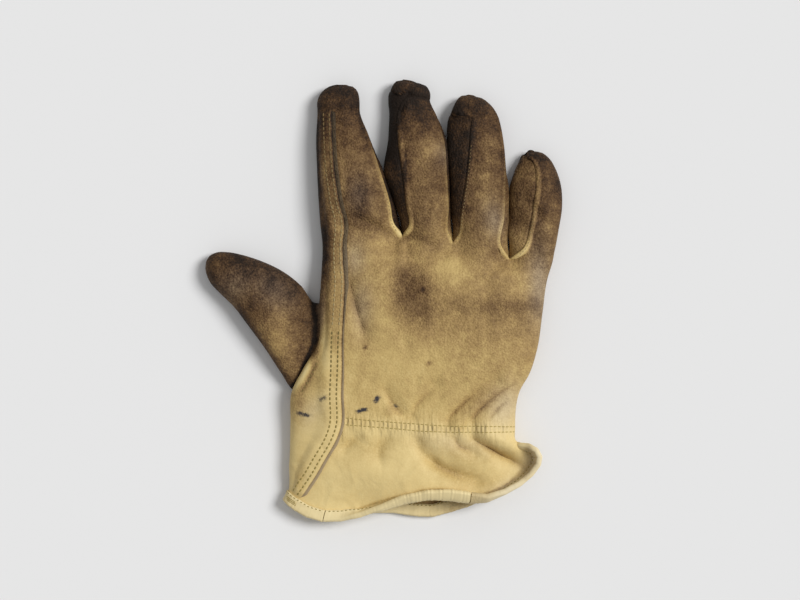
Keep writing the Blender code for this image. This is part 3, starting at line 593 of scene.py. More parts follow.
def panel_grids(panel):
    """The panel as one grid of points for each finger, from the hem to the fingertip."""
    hand, inward, columns = hand_keys(panel)
    knuckles = len(hand) - 1
    grids = {}
    for finger in FINGERS:
        keys = np.concatenate([hand[:, columns[finger]], finger_keys(panel, finger)])
        leaving = headings(keys)
        arriving = leaving.copy()
        from_left = np.arange(keys.shape[1])
        sides = [from_left] * (finger != "index") + [from_left[::-1]] * (finger != "little")
        bent = bell(np.minimum.reduce(sides), PARTED_COLUMNS)[:, None]
        arriving[knuckles] += (headings(keys[:knuckles + 1])[-1] - arriving[knuckles]) * bent
        leaving[knuckles] += (headings(keys[knuckles:])[0] - leaving[knuckles]) * bent
        leaving[0] = inward[columns[finger]]
        steps = [hem_steps(keys), *[even(HAND_STEPS)] * (knuckles - 1), *finger_steps(finger)]
        grid = run(keys, steps, leaving, arriving)
        grid[..., 2] = grid[..., 2].clip(LEATHER)
        if panel == "back":
            grid = raised_seams(grid, finger)
        grids[finger] = worn_shape(grid)
    lapped_edge(grids, panel)
    return grids


def normals(grid):
    """Outward directions of a grid whose columns run left to right on top and its rows up the hand."""
    return unit(np.cross(np.gradient(grid, axis=1), np.gradient(grid, axis=0)))


def unit(vectors):
    """The vectors' directions, each of length 1."""
    return vectors / np.linalg.norm(vectors, axis=-1, keepdims=True).clip(1e-9)


def short_of_cap(y):
    """1 up to where the lapped edge runs in under the index's cap, and 0 past it."""
    return eased(y, (0, *UNDER_CAP, 130), (1, 1, 0, 0))


def lapped_edge(grids, panel):
    """Raises the palm's lapped edge onto the back, and ends it and the back's tuck short of the binding."""
    grid = grids["index"]
    seam = 1 if panel == "back" else STRIP_FACES
    up = lengths_along(grid[:, seam])
    risen = eased(up, (0, RISE_FROM, RISE_TO), (0, 0, 1))[:, None]
    risen = risen * short_of_cap(grid[:, seam, 1])[:, None]
    if panel == "back":
        grid[:, 0] = grid[:, 1] + (grid[:, 0] - grid[:, 1]) * risen
        return
    outward = -normals(grid)
    aside = unit(grid[:, seam + 1] - grid[:, seam])
    grid[:, :seam] = grid[:, seam][:, None] + (grid[:, :seam] - grid[:, seam][:, None]) * risen[..., None]
    low = eased(up, (0, RISE_FROM, RISE_TO), (1, 1, 0))[:, None]
    grid[:, :seam + 1] += (aside * SEAM_GAP * low)[:, None]
    columns = np.arange(grid.shape[1])
    lifted = eased(columns, (0, RAISED_COLUMN, EASED_COLUMN, columns[-1]), (1, 1, 0, 0))
    thinned = eased(grid[:, seam, 1], *LAP_THINS)[:, None]
    past = np.stack([lengths_along(row[seam::-1])[::-1] for row in grid])
    rise = np.tile(lifted, (len(grid), 1)) * LAP_RISE * thinned
    rise[:, :seam + 1] -= GROOVE_DEPTH * bell(past - GROOVE_AT, GROOVE_WIDTH)
    rise[:, :seam + 1] -= STRIP_DROP * eased(past, (0, GROOVE_AT, 2 * GROOVE_AT, 9), (0, 0, 1, 1))
    grid += outward * (rise * risen)[..., None]


# ---------------------------------------------------------------- side walls and thumb

# How far each side wall swells towards the next finger, where the two fingers touch.
CLOSED = {
    "index": table(
        "y half_gap",
        (30, 0.0), (40, 1.9), (53, 1.65), (66, 1.5), (73, 1.2), (80, 0.4), (88, 0.0)),
    "middle": table(
        "y half_gap",
        (27, 0.0), (36, 2.3), (49, 1.25), (69, 1.05), (88, 1.35), (98, 0.6), (105, 0.0)),
    "ring": table(
        "y half_gap",
        (22, 0.0), (26, 2.2), (30, 3.0), (36, 2.6), (47, 1.4), (58, 1.3), (64, 0.9), (70, 0.0)),
}
WALL_SWELL = 0.7                     # how blunt that swelling is
WALL_FLUSH = 0.9                     # how nearly a side wall comes level with its neighbours at the seams
FLUSH_FROM, FLUSH_TO = (1, 8), (2, 8)    # mm from the crotch and from the tip between which that fades


def side_wall(left_finger, right_finger, crotch):
    """Grids of the two limbs of a forked side wall, from the crotch up each finger."""
    limbs = []
    for finger, side in ((left_finger, "right"), (right_finger, "left")):
        rows = FINGERS[finger]
        line = np.linspace(crotch[0], crotch[1], SIDE_FACES + 1)
        keys = [line]
        for row in range(len(rows["top"]) - 1):
            ring = finger_section(rows, row)
            start, end = rows["back_" + side][row], rows["palm_" + side][row]
            keys.append(spread(ring, start, end, SIDE_FACES, 0, SEAM_GAP / 2))
        keys = np.stack(keys)
        slope = headings(keys)
        grid = worn_shape(run(keys, finger_steps(finger)[:-1], slope, slope))
        near = CLOSED[left_finger]
        half_gap = smooth_at(grid[..., 1].clip(near["y"][0], near["y"][-1]), near["y"], near["half_gap"])
        swell = np.sin(np.linspace(0, np.pi, SIDE_FACES + 1)) ** WALL_SWELL
        grid[..., 0] += half_gap * swell * (1 if side == "right" else -1)
        limb = grid if side == "right" else grid[:, ::-1]
        flush = LEATHER * WALL_FLUSH * np.linspace(-1, 1, SIDE_FACES + 1) ** 2
        up = lengths_along(limb[:, SIDE_FACES // 2])
        fade = np.interp(up, FLUSH_FROM, (0, 1)) * np.interp(up[-1] - up, FLUSH_TO, (0, 1))
        limbs.append(limb + normals(limb) * (flush * fade[:, None])[..., None])
    return limbs


def crotch_line(back, palm):
    """The upper and lower ends of a side wall where two fingers part."""
    down = np.array([0, 0, SEAM_GAP])
    return back - down, palm + down


def thumb_grid(palm):
    """Rings of the thumb, from its root inside the hole in the palm to its tip."""
    first, last = grid_row(HOLE_FROM), grid_row(HOLE_TO)
    middle = (EDGE_COLUMN + HOLE_COLUMN) // 2
    place = [(first, column) for column in range(middle, EDGE_COLUMN, -1)]
    place += [(row, EDGE_COLUMN) for row in range(first, last + 1)]
    place += [(last, column) for column in range(EDGE_COLUMN + 1, HOLE_COLUMN)]
    place += [(row, HOLE_COLUMN) for row in range(last, first - 1, -1)]
    place += [(first, column) for column in range(HOLE_COLUMN - 1, middle, -1)]
    root = []
    for row, column in place:
        share = (row - first) / (last - first)
        inward = (column - EDGE_COLUMN) / (HOLE_COLUMN - EDGE_COLUMN)
        tuck = np.add(THUMB_TUCK[0], share * np.subtract(THUMB_TUCK[1], THUMB_TUCK[0]))
        tuck[0] = np.interp(inward, (0, 0.5, 1), (tuck[0], tuck[0], -HOLE_GAP))
        tuck[2] = np.interp(inward, (0, 0.5, 1), (tuck[2], 0, 0))
        root.append(palm[row, column] + tuck)
    keys = [np.array(root)]
    for row in range(len(THUMB["top"])):
        ring = finger_section(THUMB, row)
        keys.append(spread(ring, 0, 2, len(root))[:-1])
    keys = np.stack(keys)
    slope = headings(keys)
    lengths = reaches(keys).mean(axis=(1, 2))
    steps = [even(max(2, round(length / ROW_SPACING))) for length in lengths]
    grid = run(keys, steps, slope, slope)
    grid[..., 2] = grid[..., 2].clip(LEATHER)
    return grid


# ---------------------------------------------------------------- folds and creases

# Broad folds of the upper side: ridges where height is over 0, troughs where it is under 0.
FOLDS = table(
    "from_x from_y to_x to_y half_width height",
    ( 36.0, -68.0,  62.0, -46.0, 5.0, -1.8),
    ( 49.0, -68.0,  76.0, -46.0, 5.0, -1.9),
    ( 41.0, -68.0,  68.0, -46.0, 4.0,  1.6),
    ( 55.0, -68.0,  78.0, -46.0, 4.0,  1.2),
    ( 49.0, -79.0,  77.5, -92.5, 5.0, -3.6),
    ( 57.0, -75.5,  79.0, -87.0, 5.0,  3.2),
    ( 38.0, -77.0,  50.0, -86.0, 3.5, -1.4),
    ( 18.0, -78.0,  34.0, -95.0, 5.0, -1.5),
    ( 26.0, -78.0,  34.0, -94.0, 4.0,  1.0),
    (  0.0, -77.0,  -3.0, -88.0, 5.0, -1.2),
    (-22.0, -83.0, -15.0, -77.0, 4.0, -1.4),
    ( 16.0, -65.0,  28.0, -48.0, 4.5, -1.5),
    ( 11.0, -64.0,   1.0, -50.0, 4.0, -1.2),
    ( 44.0, -77.0,  58.0, -86.5, 3.0,  1.3),
    ( 28.0, -91.0,  50.0, -101.0, 6.0, -2.2),
    (-19.0,  10.0, -11.0, -19.0, 5.0, -1.6),
    (-22.0,  43.0,   6.0,  33.0, 6.0, -2.2),
    (-18.0,  57.0,   0.0,  48.0, 6.0,  0.9),
    ( 26.0,  28.0,  12.0,  10.0, 9.0, -1.6),
    ( 14.0,  36.0,  26.0,  28.0, 5.0, -1.0),
    ( 84.0,  32.0,  74.0,  44.0, 5.0, -1.8),
    ( 60.0,   4.0,  86.0,   2.0, 7.0, -1.2),
    ( 30.0,  60.0,  14.0,  46.0, 5.0, -1.0),
)
FOLD_FLOOR, FOLD_FULL = 6.0, 10.0    # heights between which the folds fade in
UPPER_FROM, UPPER_TO = 4, 7          # and those between which the cap and the dents do
CREASE_ENDS, CREASE_FADE, DARK_LINE_ENDS = 0.06, 0.7, 0.1

# Finer creases of the upper side, each bent through its middle point, with dirt and painted shade in their
# troughs, and paler leather on some ridges.
CREASES = table(
    "x y mid_x mid_y end_x end_y half_width height dirt_width dirt",
    ( 35.3,  -67.1,  41.5,  -60.0,  53.0,  -50.5, 1.5, -1.5, 1.5,  0.13),
    ( 48.7,  -67.2,  56.0,  -58.7,  71.0,  -47.5, 1.5, -1.6, 1.5,  0.14),
    ( 57.7,  -67.5,  62.0,  -62.3,  68.5,  -56.5, 1.3, -1.2, 1.2,  0.10),
    ( 15.8,  -64.0,  18.5,  -58.0,  25.0,  -52.0, 1.8, -1.0, 1.8,  0.08),
    ( 24.5,  -64.5,  30.0,  -56.0,  38.0,  -49.0, 2.4, -0.8, 1.0,  0.00),
    ( 11.0,  -65.0,   5.0,  -59.0,   1.0,  -51.0, 1.9, -1.2, 2.0,  0.10),
    (-22.0,  -83.0, -19.0,  -79.5, -14.0,  -77.0, 2.2, -1.0, 2.4,  0.08),
    ( 17.6,  -77.6,  25.0,  -89.5,  42.0,  -97.0, 3.0, -1.3, 3.0,  0.10),
    (  0.0,  -78.5,  -3.0,  -84.0,  -2.0,  -91.0, 2.6, -0.6, 1.0,  0.00),
    ( 30.0,  -93.0,  40.0,  -97.0,  56.0, -101.0, 3.0, -0.9, 1.0,  0.00),
    ( 49.3,  -77.6,  62.5,  -85.0,  78.5,  -93.5, 1.9, -1.9, 1.0,  0.00),
    ( 39.5,  -77.0,  41.8,  -82.0,  47.5,  -84.0, 1.5, -1.2, 1.5,  0.14),
    # Painted shade in the deep fold beside the hollow near the middle finger's tip.
    ( 14.0,  113.5,   9.5,  104.0,   8.6,   95.0, 1.3, -1.2, 1.4,  0.28),
    ( 14.0,  113.5,   9.5,  115.5,   5.0,  116.5, 1.2, -0.9, 1.0,  0.00),
    ( 14.0,  113.5,  19.0,  112.5,  24.0,  111.0, 1.3, -0.8, 1.0,  0.00),
    ( 11.5,  112.5,  13.0,  106.0,  12.2,   98.0, 1.6,  0.7, 1.0,  0.00),
    ( 49.3,  101.0,  55.0,  101.0,  60.0,   99.0, 2.0, -0.8, 1.0,  0.00),
    ( 47.0,  104.5,  52.0,  106.0,  58.0,  104.0, 1.5,  0.5, 1.0,  0.00),
    (-20.0,   47.0,  -9.0,   43.0,   3.0,   37.0, 2.5, -1.1, 1.0,  0.00),
    (-19.0,   10.0, -15.5,   -4.0, -11.0,  -18.5, 1.6, -0.9, 2.2,  0.12),
    ( 81.0,   55.0,  84.5,   48.0,  90.0,   42.0, 2.5, -1.2, 1.0,  0.00),
    ( 83.0,   62.0,  86.0,   52.0,  92.0,   46.0, 2.5,  0.7, 1.0,  0.00),
    ( 60.0,   36.0,  64.0,   31.0,  70.0,   26.0, 2.5, -0.9, 1.0,  0.00),
    ( 13.8,   49.0,  13.9,   38.5,   6.0,   36.0, 1.5,  0.9, 1.0,  0.00),
    ( 66.5,   45.0,  65.0,   29.0,  70.5,   23.6, 1.5,  0.9, 1.2, -0.08),
    ( 70.5,   23.6,  77.0,   26.0,  80.0,   34.0, 1.5,  0.9, 1.2, -0.08),
    (-40.0,  -33.5, -43.5,  -41.0, -49.5,  -51.5, 1.3,  0.9, 1.2, -0.30),
    # Painted shade in the gap beside the thumb's seam.
    (-36.5,  -35.0, -40.5,  -43.0, -46.0,  -53.0, 1.4, -0.5, 1.1,  0.26),
    (-47.0, -102.0, -43.0,  -88.0, -44.0,  -74.0, 3.0, -0.2, 1.0,  0.00),
)

# The index's cap is sewn on over the finger: the middle of its ragged edge, its slope, half its width, how
# far it stands up, and the ragged edge's waves as (height, turns per mm, phase).
CAP_EDGE, CAP_SLOPE, CAP_HALF, CAP_RISE = (-25.0, 105.3), 0.06, 14, 0.55
CAP_WAVES = ((0.5, 1.9, 0), (0.35, 4.3, 1))
CAP_STEP = 0.4

# Small hollows and lumps.
DENTS = table(
    "x y radius height",
    ( 14.0, 113.4, 1.6, -1.6),
    (-26.0, 108.5, 2.5, -0.5),
    (-18.0, 110.5, 3.0,  0.5),
    (-31.0, 111.0, 2.5,  0.4),
    ( 20.0, 117.0, 3.0,  0.5),
    (  8.0, 117.0, 3.0,  0.5),
    ( 54.0,  91.0, 0.8, -0.5),
)


def crease_depth(points):
    """How far the broad folds and the creases move each point up or down."""
    weight = ((points[..., 2] - FOLD_FLOOR) / (FOLD_FULL - FOLD_FLOOR)).clip(0, 1)
    moved = np.zeros(points.shape[:-1])
    plan = points[..., :2]
    start = np.column_stack([FOLDS["from_x"], FOLDS["from_y"]])
    along = np.column_stack([FOLDS["to_x"], FOLDS["to_y"]]) - start
    for a, d, half_width, height in zip(start, along, FOLDS["half_width"], FOLDS["height"]):
        off = plan - a
        t = ((off @ d) / (d @ d)).clip(0, 1)
        away = np.linalg.norm(off - t[..., None] * d, axis=-1)
        moved += height * bell(away, half_width)
    for at in rows_of(CREASES):
        away, t = from_line(plan, line_of(at))
        moved += at["height"] * faded(t, CREASE_ENDS) ** CREASE_FADE * bell(away, at["half_width"])
    return moved * weight


def faded(t, ends):
    """1 halfway along a line, less towards its two ends, and least where ends is 0."""
    return np.sin(np.pi * (ends + (1 - 2 * ends) * t))


def line_of(at):
    """The bent line of one crease or smear."""
    return bent_line((at["x"], at["y"]), (at["mid_x"], at["mid_y"]), (at["end_x"], at["end_y"]))


def bent_line(start, middle, end, count=9):
    """Points along a smooth bend that passes through its middle point."""
    start, middle, end = (np.array(p, float) for p in (start, middle, end))
    pull = 2 * middle - (start + end) / 2
    t = np.linspace(0, 1, count)[:, None]
    return start * (1 - t) ** 2 + 2 * pull * t * (1 - t) + end * t * t


def from_line(plan, line):
    """(distance of each point from a line of points, how far along it the nearest place is)."""
    best = np.full(plan.shape[:-1], 1e9)
    place = np.zeros(plan.shape[:-1])
    for k, (a, b) in enumerate(zip(line, line[1:])):
        d = b - a
        t = (((plan - a) @ d) / (d @ d)).clip(0, 1)
        away = np.linalg.norm(plan - a - t[..., None] * d, axis=-1)
        nearer = away < best
        best = np.where(nearer, away, best)
        place = np.where(nearer, (k + t) / (len(line) - 1), place)
    return best, place


def worn_shape(points):
    """Points with the folds, creases and soft dents of wear added."""
    points = points.copy()
    points[..., 2] += crease_depth(points)
    upper = ((points[..., 2] - UPPER_FROM) / (UPPER_TO - UPPER_FROM)).clip(0, 1)
    x, y = points[..., 0], points[..., 1]
    ragged = sum(height * np.sin(x * turns + phase) for height, turns, phase in CAP_WAVES)
    edge = CAP_EDGE[1] + ragged + CAP_SLOPE * (x - CAP_EDGE[0])
    rise = eased(y - edge, (-30, -CAP_STEP, CAP_STEP, 30), (0, 0, CAP_RISE, CAP_RISE))
    points[..., 2] += rise * upper * (np.abs(x - CAP_EDGE[0]) < CAP_HALF)
    for at in rows_of(DENTS):
        away = np.hypot(x - at["x"], y - at["y"])
        points[..., 2] += at["height"] * bell(away, at["radius"]) * upper
    return points


# The two stitched rows across the wrist, and the distances of the lapped seam's two rows from its edge.
WRIST_ROWS = table(
    "x upper lower",
    (-21.5, -65.9, -69.7),
    ( -9.5, -67.2, -70.6),
    (  4.5, -68.3, -71.7),
    ( 19.6, -69.4, -73.2),
    ( 37.0, -70.6, -73.9),
    ( 55.4, -70.6, -73.9),
    ( 73.0, -71.1, -73.9),
)
RIB_PITCH = 2.46
LAP_ROWS_OUTER = table("y away", (-125, 6.2), (-40, 5.8), (40, 4.8), (110, 4.6))
LAP_ROWS_INNER = table("y away", (-125, 2.4), (-40, 2.2), (0, 1.4), (110, 1.1))


# ---------------------------------------------------------------- soil and painted shade, by place

# How soiled the leather is up the glove, from 0, clean, to 1, black.
BASE_SOIL = table(
    "y soil",
    (-125.0, 0.12),
    (-100.0, 0.15),
    ( -74.0, 0.18),
    ( -64.0, 0.26),
    ( -45.0, 0.36),
    ( -20.0, 0.42),
    (   0.0, 0.43),
    (  15.0, 0.42),
    (  30.0, 0.47),
    (  60.0, 0.65),
    (  90.0, 0.77),
    ( 106.0, 0.90),
    ( 123.0, 0.98),
)

# Soft oval patches of stain, and a few of painted shade. angle is that of its long way from the X axis.
STAINS_AND_SHADE = table(
    "x y long wide angle soil",
    ( 15.7,   5.0, 13.0, 10.0,  90,  0.20),
    ( 12.0,   1.0, 20.0, 14.0,  80,  0.08),
    ( 20.0,  -2.0, 26.0, 12.0, -40,  0.07),
    ( 69.0,  -4.5, 24.0,  6.0,   0,  0.16),
    ( 37.0,  17.0, 11.0,  8.0,   0, -0.12),
    (-13.0,  50.0, 13.0,  7.0,  90,  0.20),
    (  1.0, -14.0, 32.0,  9.0,  90, -0.12),
    ( -5.0,  25.0, 12.0, 10.0,   0, -0.06),
    # Darker along the hand's and the index's left edge: dirt, with painted shade on the side away from the
    # light.
    (-35.0,  18.0, 26.0,  5.0,  90,  0.26),
    (-36.0,  62.0, 26.0,  5.0,  90,  0.12),
    (-29.0, -50.0, 24.0,  9.0,  90, -0.10),
    ( 84.0,  36.0, 26.0,  9.0, 100,  0.15),
    ( 60.0,  24.0, 10.0,  8.0,   0,  0.14),
    ( 72.0, -15.0, 14.0, 12.0,   0,  0.06),
    ( 48.0, -62.0, 18.0,  7.0,  40,  0.10),
    ( 20.0,  46.0,  7.0,  7.0,   0,  0.10),
    ( 26.0,  86.0,  8.0,  6.0,   0, -0.12),
    (-14.0,  83.0, 12.0,  5.0, 110, -0.08),
    (  8.0,  42.0,  5.0,  4.0,   0, -0.20),
    ( 56.0,  72.0, 16.0,  4.0,  90, -0.06),
    ( 46.0, -86.0, 16.0,  7.0, -20,  0.10),
    ( 38.0, -98.0, 14.0,  5.0, -10,  0.08),
    (-10.0, -84.0, 12.0,  6.0,  30,  0.08),
    (-24.0, -80.0, 10.0,  3.0,  60,  0.06),
    ( 10.0, -78.0, 30.0,  3.0,   0,  0.03),
    (  3.0, -62.0,  8.0,  4.0,   0,  0.05),
    # Painted shade along the cuff's left edge, on the side away from the light.
    (-46.0, -100.0, 14.0, 3.0,  90,  0.10),
    (-47.0, -60.0, 10.0,  3.0,  90,  0.10),
    ( 78.0, -90.0,  8.0,  5.0,  30,  0.06),
    ( 88.0,  48.0, 28.0,  9.0,  95,  0.12),
    ( 51.0,  86.0, 12.0,  4.0,  90,  0.12),
    ( 53.0,  42.0,  8.0,  4.0,  90,  0.14),
    (-33.0,  34.0, 26.0,  4.0,  90,  0.14),
    ( 20.0, -34.0, 22.0, 14.0,  20, -0.09),
    (-20.0, -30.0, 22.0,  9.0,  90, -0.09),
    ( 52.0, -104.0, 18.0, 5.0,   8,  0.09),
    # Painted shade in the gap under the rolled hem's lower edge.
    ( 36.0, -114.5, 18.0, 2.5,   0,  0.50),
    # Painted shade in the hollow near the middle finger's tip.
    ( 14.0, 113.3,  1.9,  1.6,   0,  0.45),
    ( 47.5, 101.5,  2.6,  1.3,   0, -0.25),
    ( 15.0, -75.0, 34.0,  3.0,  -3, -0.04),
    ( 84.0,  77.0, 10.0,  8.0,   0,  0.12),
    ( 20.0,  76.0,  9.0,  6.0,  70, -0.08),
    (-26.0,  82.0, 12.0,  4.0, 100, -0.10),
    (-27.0,  96.0,  9.0,  6.0,   0,  0.06),
    (-22.0, 103.0, 12.0,  8.0,   0, -0.10),
    ( 27.5,  82.0,  6.0,  4.0,   0, -0.16),
    ( 60.0, 104.0,  8.0,  4.0, 100, -0.12),
    ( 17.0,  93.0,  8.0,  3.0,  90, -0.10),
    ( 21.7,   5.0,  1.3,  1.1,   0,  0.34),
    (-10.2, -26.9,  1.3,  1.1,   0,  0.30),
    ( 24.8, -35.3,  1.6,  1.3,   0,  0.24),
    (  0.0, 107.0,  7.0,  5.0,   0,  0.14),
    ( 12.0,  68.0,  8.0,  5.0,  90,  0.12),
    ( 44.0,  50.0,  6.0,  5.0,   0,  0.13),
    ( -7.0,  49.0,  5.0,  5.0,   0, -0.10),
    (-19.0,  80.0,  8.0,  5.0,  90, -0.10),
    ( 79.0,  73.0,  6.0,  6.0,   0,  0.10),
    ( 91.0,  41.0, 10.0,  4.0,  90, -0.10),
    ( 56.0,  52.0, 12.0,  5.0,  80, -0.10),
    ( 40.0,  63.0,  4.0, 12.0,   0,  0.08),
)

# More soil along lines, each bent through its middle point: dirt, and painted shade in gaps, fold troughs and
# under the rolled hem.
DIRT_AND_SHADE_LINES = table(
    "x y mid_x mid_y end_x end_y half_width soil",
    # Painted shade in the gap where the thumb tucks under the hand's edge.
    (-37.0,   0.0, -37.0, -20.0, -40.0, -34.0, 2.6,  0.34),
    (-22.5,  43.0,  -6.0,  40.0,   5.0,  36.0, 3.0,  0.08),
    (-31.0,  44.0, -31.5,  28.0, -31.0,  11.0, 3.0,  0.26),
    (-32.5, -11.0, -32.0, -26.0, -31.0, -42.0, 3.2, -0.19),
    # Painted shade in the trough under the tongue of leather by the wrist.
    ( 49.3, -77.8,  62.0, -85.0,  77.8, -93.4, 2.2,  0.24),
    # Dirt and painted shade in the troughs of two folds.
    (  0.0, -77.0,  -1.0, -83.0,  -3.0, -88.0, 3.0,  0.08),
    ( 28.0, -91.8,  38.0, -97.0,  52.0, -101.8, 3.0, 0.08),
    # Painted shade inside the hem's rolled corner.
    ( 83.5, -84.5,  84.5, -93.0,  76.0, -102.0, 2.6, 0.34),
    ( 14.0, 113.5,  18.0, 112.8,  24.0, 111.5, 1.2,  0.20),
    ( 37.5, 103.8,  44.0, 102.6,  50.0, 101.2, 0.9,  0.30),
    ( 66.6,  86.0,  67.6,  72.0,  68.3,  50.0, 3.0,  0.22),
    ( 12.3,  84.0,  11.6,  62.0,  12.8,  49.0, 1.1,  0.30),
    ( 49.0, 100.0,  47.0,  75.0,  44.0,  48.0, 1.5,  0.32),
    # Painted shade along the index's right edge.
    (-14.5, 116.0, -12.5,  98.0,  -7.5,  84.0, 2.0,  0.22),
    (-37.8, 100.0, -38.0,  66.0, -37.0,  28.0, 2.0,  0.28),
    (-32.3,  82.0, -32.3,  68.0, -32.3,  57.0, 1.8, -0.22),
    ( 35.0, 112.0,  38.5, 108.0,  43.0, 103.0, 2.4,  0.16),
    ( 81.5,  83.0,  74.5,  68.0,  72.5,  56.0, 2.6,  0.24),
    (-23.0,  80.0, -23.0,  68.0, -23.0,  58.0, 2.2, -0.14),
    ( 92.0,  76.0,  98.8,  56.0,  97.6,  32.0, 4.0,  0.16),
    (-36.6, 100.0, -36.4,  70.0, -35.6,  44.0, 1.6,  0.20),
    # Painted shadow along the rolled hem's top edge, where the roll overhangs the cuff.
    (-19.0, -119.6, -2.0, -112.5, 15.0, -108.2, 0.9, 0.22),
    ( 15.0, -108.2, 30.0, -105.8, 49.0, -109.2, 0.9, 0.26),
    ( 49.0, -109.2, 66.0, -105.0, 78.0, -93.9, 0.9,  0.22),
    ( 13.8,  46.0,  13.9,  38.5,   6.0,  36.0, 1.3, -0.16),
    ( 10.0,  32.5,  20.0,  34.5,  30.0,  27.5, 2.4,  0.10),
)

# How soiled the two limbs of each side wall are, and where up the glove one limb ends and the next starts.
WALL_SOIL = {
    "side_wall_leather_index_middle": table(
        "y middle left right",
        (34,  9.0, 0.70, 0.60),
        (41,  9.0, 0.90, 0.78),
        (53,  6.0, 0.95, 0.92),
        (72,  0.0, 0.92, 0.94),
        (78, -3.0, 0.94, 1.06),
        (115, -3.0, 0.98, 1.16),
    ),
    "side_wall_leather_middle_ring": table(
        "y middle left right",
        (32, 38.0, 0.44, 0.48),
        (42, 38.0, 0.66, 0.72),
        (52, 37.3, 0.85, 0.90),
        (70, 36.5, 0.88, 0.94),
        (90, 35.0, 0.90, 0.99),
        (100, 33.0, 0.95, 0.90),
    ),
    "side_wall_leather_ring_little": table(
        "y middle left right",
        (22, 69.0, 0.50, 0.46),
        (30, 69.0, 0.56, 0.52),
        (40, 69.8, 0.62, 0.66),
        (52, 69.8, 0.66, 0.70),
        (64, 69.8, 0.75, 0.70),
        (78, 70.0, 0.85, 0.72),
    ),
}

# The thumb's soil across it and in one paler patch, and painted shade along its edges, where it tucks under the
# hand, and in the gap at its seam, as (line, width, shade).
THUMB_SOIL = table("x soil", (-100, 0.84), (-85, 0.76), (-60, 0.64), (-38, 0.52))
THUMB_PATCH = {"x": -58, "y": -25, "long": 11, "wide": 13, "angle": 0, "soil": -0.20}
THUMB_SHADE_LINES = (
    (((-78.0, 24.0), (-60.0, 16.0), (-44.0, 0.0), (-44.0, -30.0)), 10.0, 0.22),
    (((-80.0, -8.0), (-62.0, -32.0), (-50.0, -50.0)), 2.2, 0.26),
    (((-40.0, 3.0), (-37.6, -14.0), (-38.4, -23.0)), 1.9, 0.45),
    (((-38.4, -23.0), (-42.6, -33.0), (-51.5, -51.0)), 1.3, 0.40),
)

# The binding's soil along the hem, and painted shade inside the rolled corner and in the gap where the palm's
# length shows.
BINDING_SOIL = table("x soil", (-55, 0.20), (-30, 0.10), (20, 0.16), (50, 0.14), (90, 0.16))
BINDING_SHADE_LINES = ((((80.4, -82.5), (82.6, -91.0), (78.5, -98.6)), 2.4, 0.20),)
HEM_GAP_AT, HEM_GAP_WIDTH, HEM_GAP_SHADE = 44, 16, 0.22

# Raised seams that are rubbed pale, with painted highlight along their ridges: the finger, the column of its
# back, the width and the change of soil.
RUBBED_AND_LIT_SEAMS = (
    ("index", -2, 1.2, -0.26),
    ("middle", -2, 0.9, -0.16),
    ("ring", -2, 1.0, -0.20),
    ("ring", 2, 0.9, -0.12),
    ("little", 2, 0.9, -0.26),
    ("middle", 2, 0.9, -0.08),
)
RUBBED_AND_LIT_UP = ((30, 70, 100), (1, 0.9, 0.1))

# Rubs of old printer's ink, too worn to read.
INK = table(
    "x y long wide angle strength",
    (-44.0, -64.0, 4.6, 1.3, -12, 1.1),
    (-33.5, -55.0, 2.6, 1.5,  25, 0.9),
    (-12.0, -61.5, 3.8, 1.3,  15, 1.2),
    ( -4.0, -55.5, 2.4, 1.7,  60, 1.2),
    (  7.0, -59.0, 1.8, 1.0, -15, 1.0),
)

# Places where the tan is rubbed grey: each an oval patch.
GREYED = table(
    "x y long wide angle strength",
    ( 68.0, -60.0, 14.0, 10.0,  60, 0.50),
    (-12.0,  -4.0, 14.0,  6.0,  90, 0.35),
    (-16.0,  22.0, 10.0,  6.0,  90, 0.40),
    ( 35.0,  80.0,  8.0,  6.0,  90, 0.45),
    ( 61.0,  44.0, 10.0,  6.0, 100, 0.50),
    ( 86.0,   8.0, 22.0,  6.0,  90, 0.60),
    ( 86.0, -88.0, 16.0,  8.0,  60, 0.45),
    ( 70.0, -106.0, 16.0, 5.0,  25, 0.50),
    (-14.0,  58.0, 10.0,  6.0,  90, 0.40),
    (-82.0,   8.0, 14.0,  9.0,  20, 0.45),
    (-62.0,   6.0, 14.0,  9.0, -30, 0.50),
    (-35.0,  -8.0, 12.0,  3.0,  90, 0.40),
    (-40.0, -62.0, 10.0,  6.0,  60, 0.30),
    ( 40.0, -80.0, 22.0,  6.0, -10, 0.25),
)


def oval(x, y, at, power=2):
    """1 at the middle of an oval patch, falling softly to 0 past its edge."""
    turn = np.radians(at["angle"])
    along = (x - at["x"]) * np.cos(turn) + (y - at["y"]) * np.sin(turn)
    aside = (y - at["y"]) * np.cos(turn) - (x - at["x"]) * np.sin(turn)
    return np.exp(-np.abs(along / at["long"]) ** power - np.abs(aside / at["wide"]) ** power)


def soil_and_shade_at(x, y):
    """Soil and painted shade at each place of the hand, before the fine mottling."""
    soil = np.interp(y, BASE_SOIL["y"], BASE_SOIL["soil"])
    for at in rows_of(STAINS_AND_SHADE):
        soil = soil + at["soil"] * oval(x, y, at)
    plan = np.column_stack([x, y])
    for lines, width, dirt in ((DIRT_AND_SHADE_LINES, "half_width", "soil"), (CREASES, "dirt_width", "dirt")):
        for at in rows_of(lines):
            away, t = from_line(plan, line_of(at))
            soil = soil + at[dirt] * bell(away, at[width]) * faded(t, DARK_LINE_ENDS)
    return soil


def strongest(x, y, patches, power=2):
    """The strongest of a table's oval patches at each place."""
    return np.max([at["strength"] * oval(x, y, at, power) for at in rows_of(patches)], axis=0)


def wall_soil(x, y, soiling):
    """Soil of a side wall: each of its two limbs has its own, up the glove."""
    middle, left, right = (np.interp(y, soiling["y"], soiling[name]) for name in ("middle", "left", "right"))
    return np.where(x < middle, left, right)


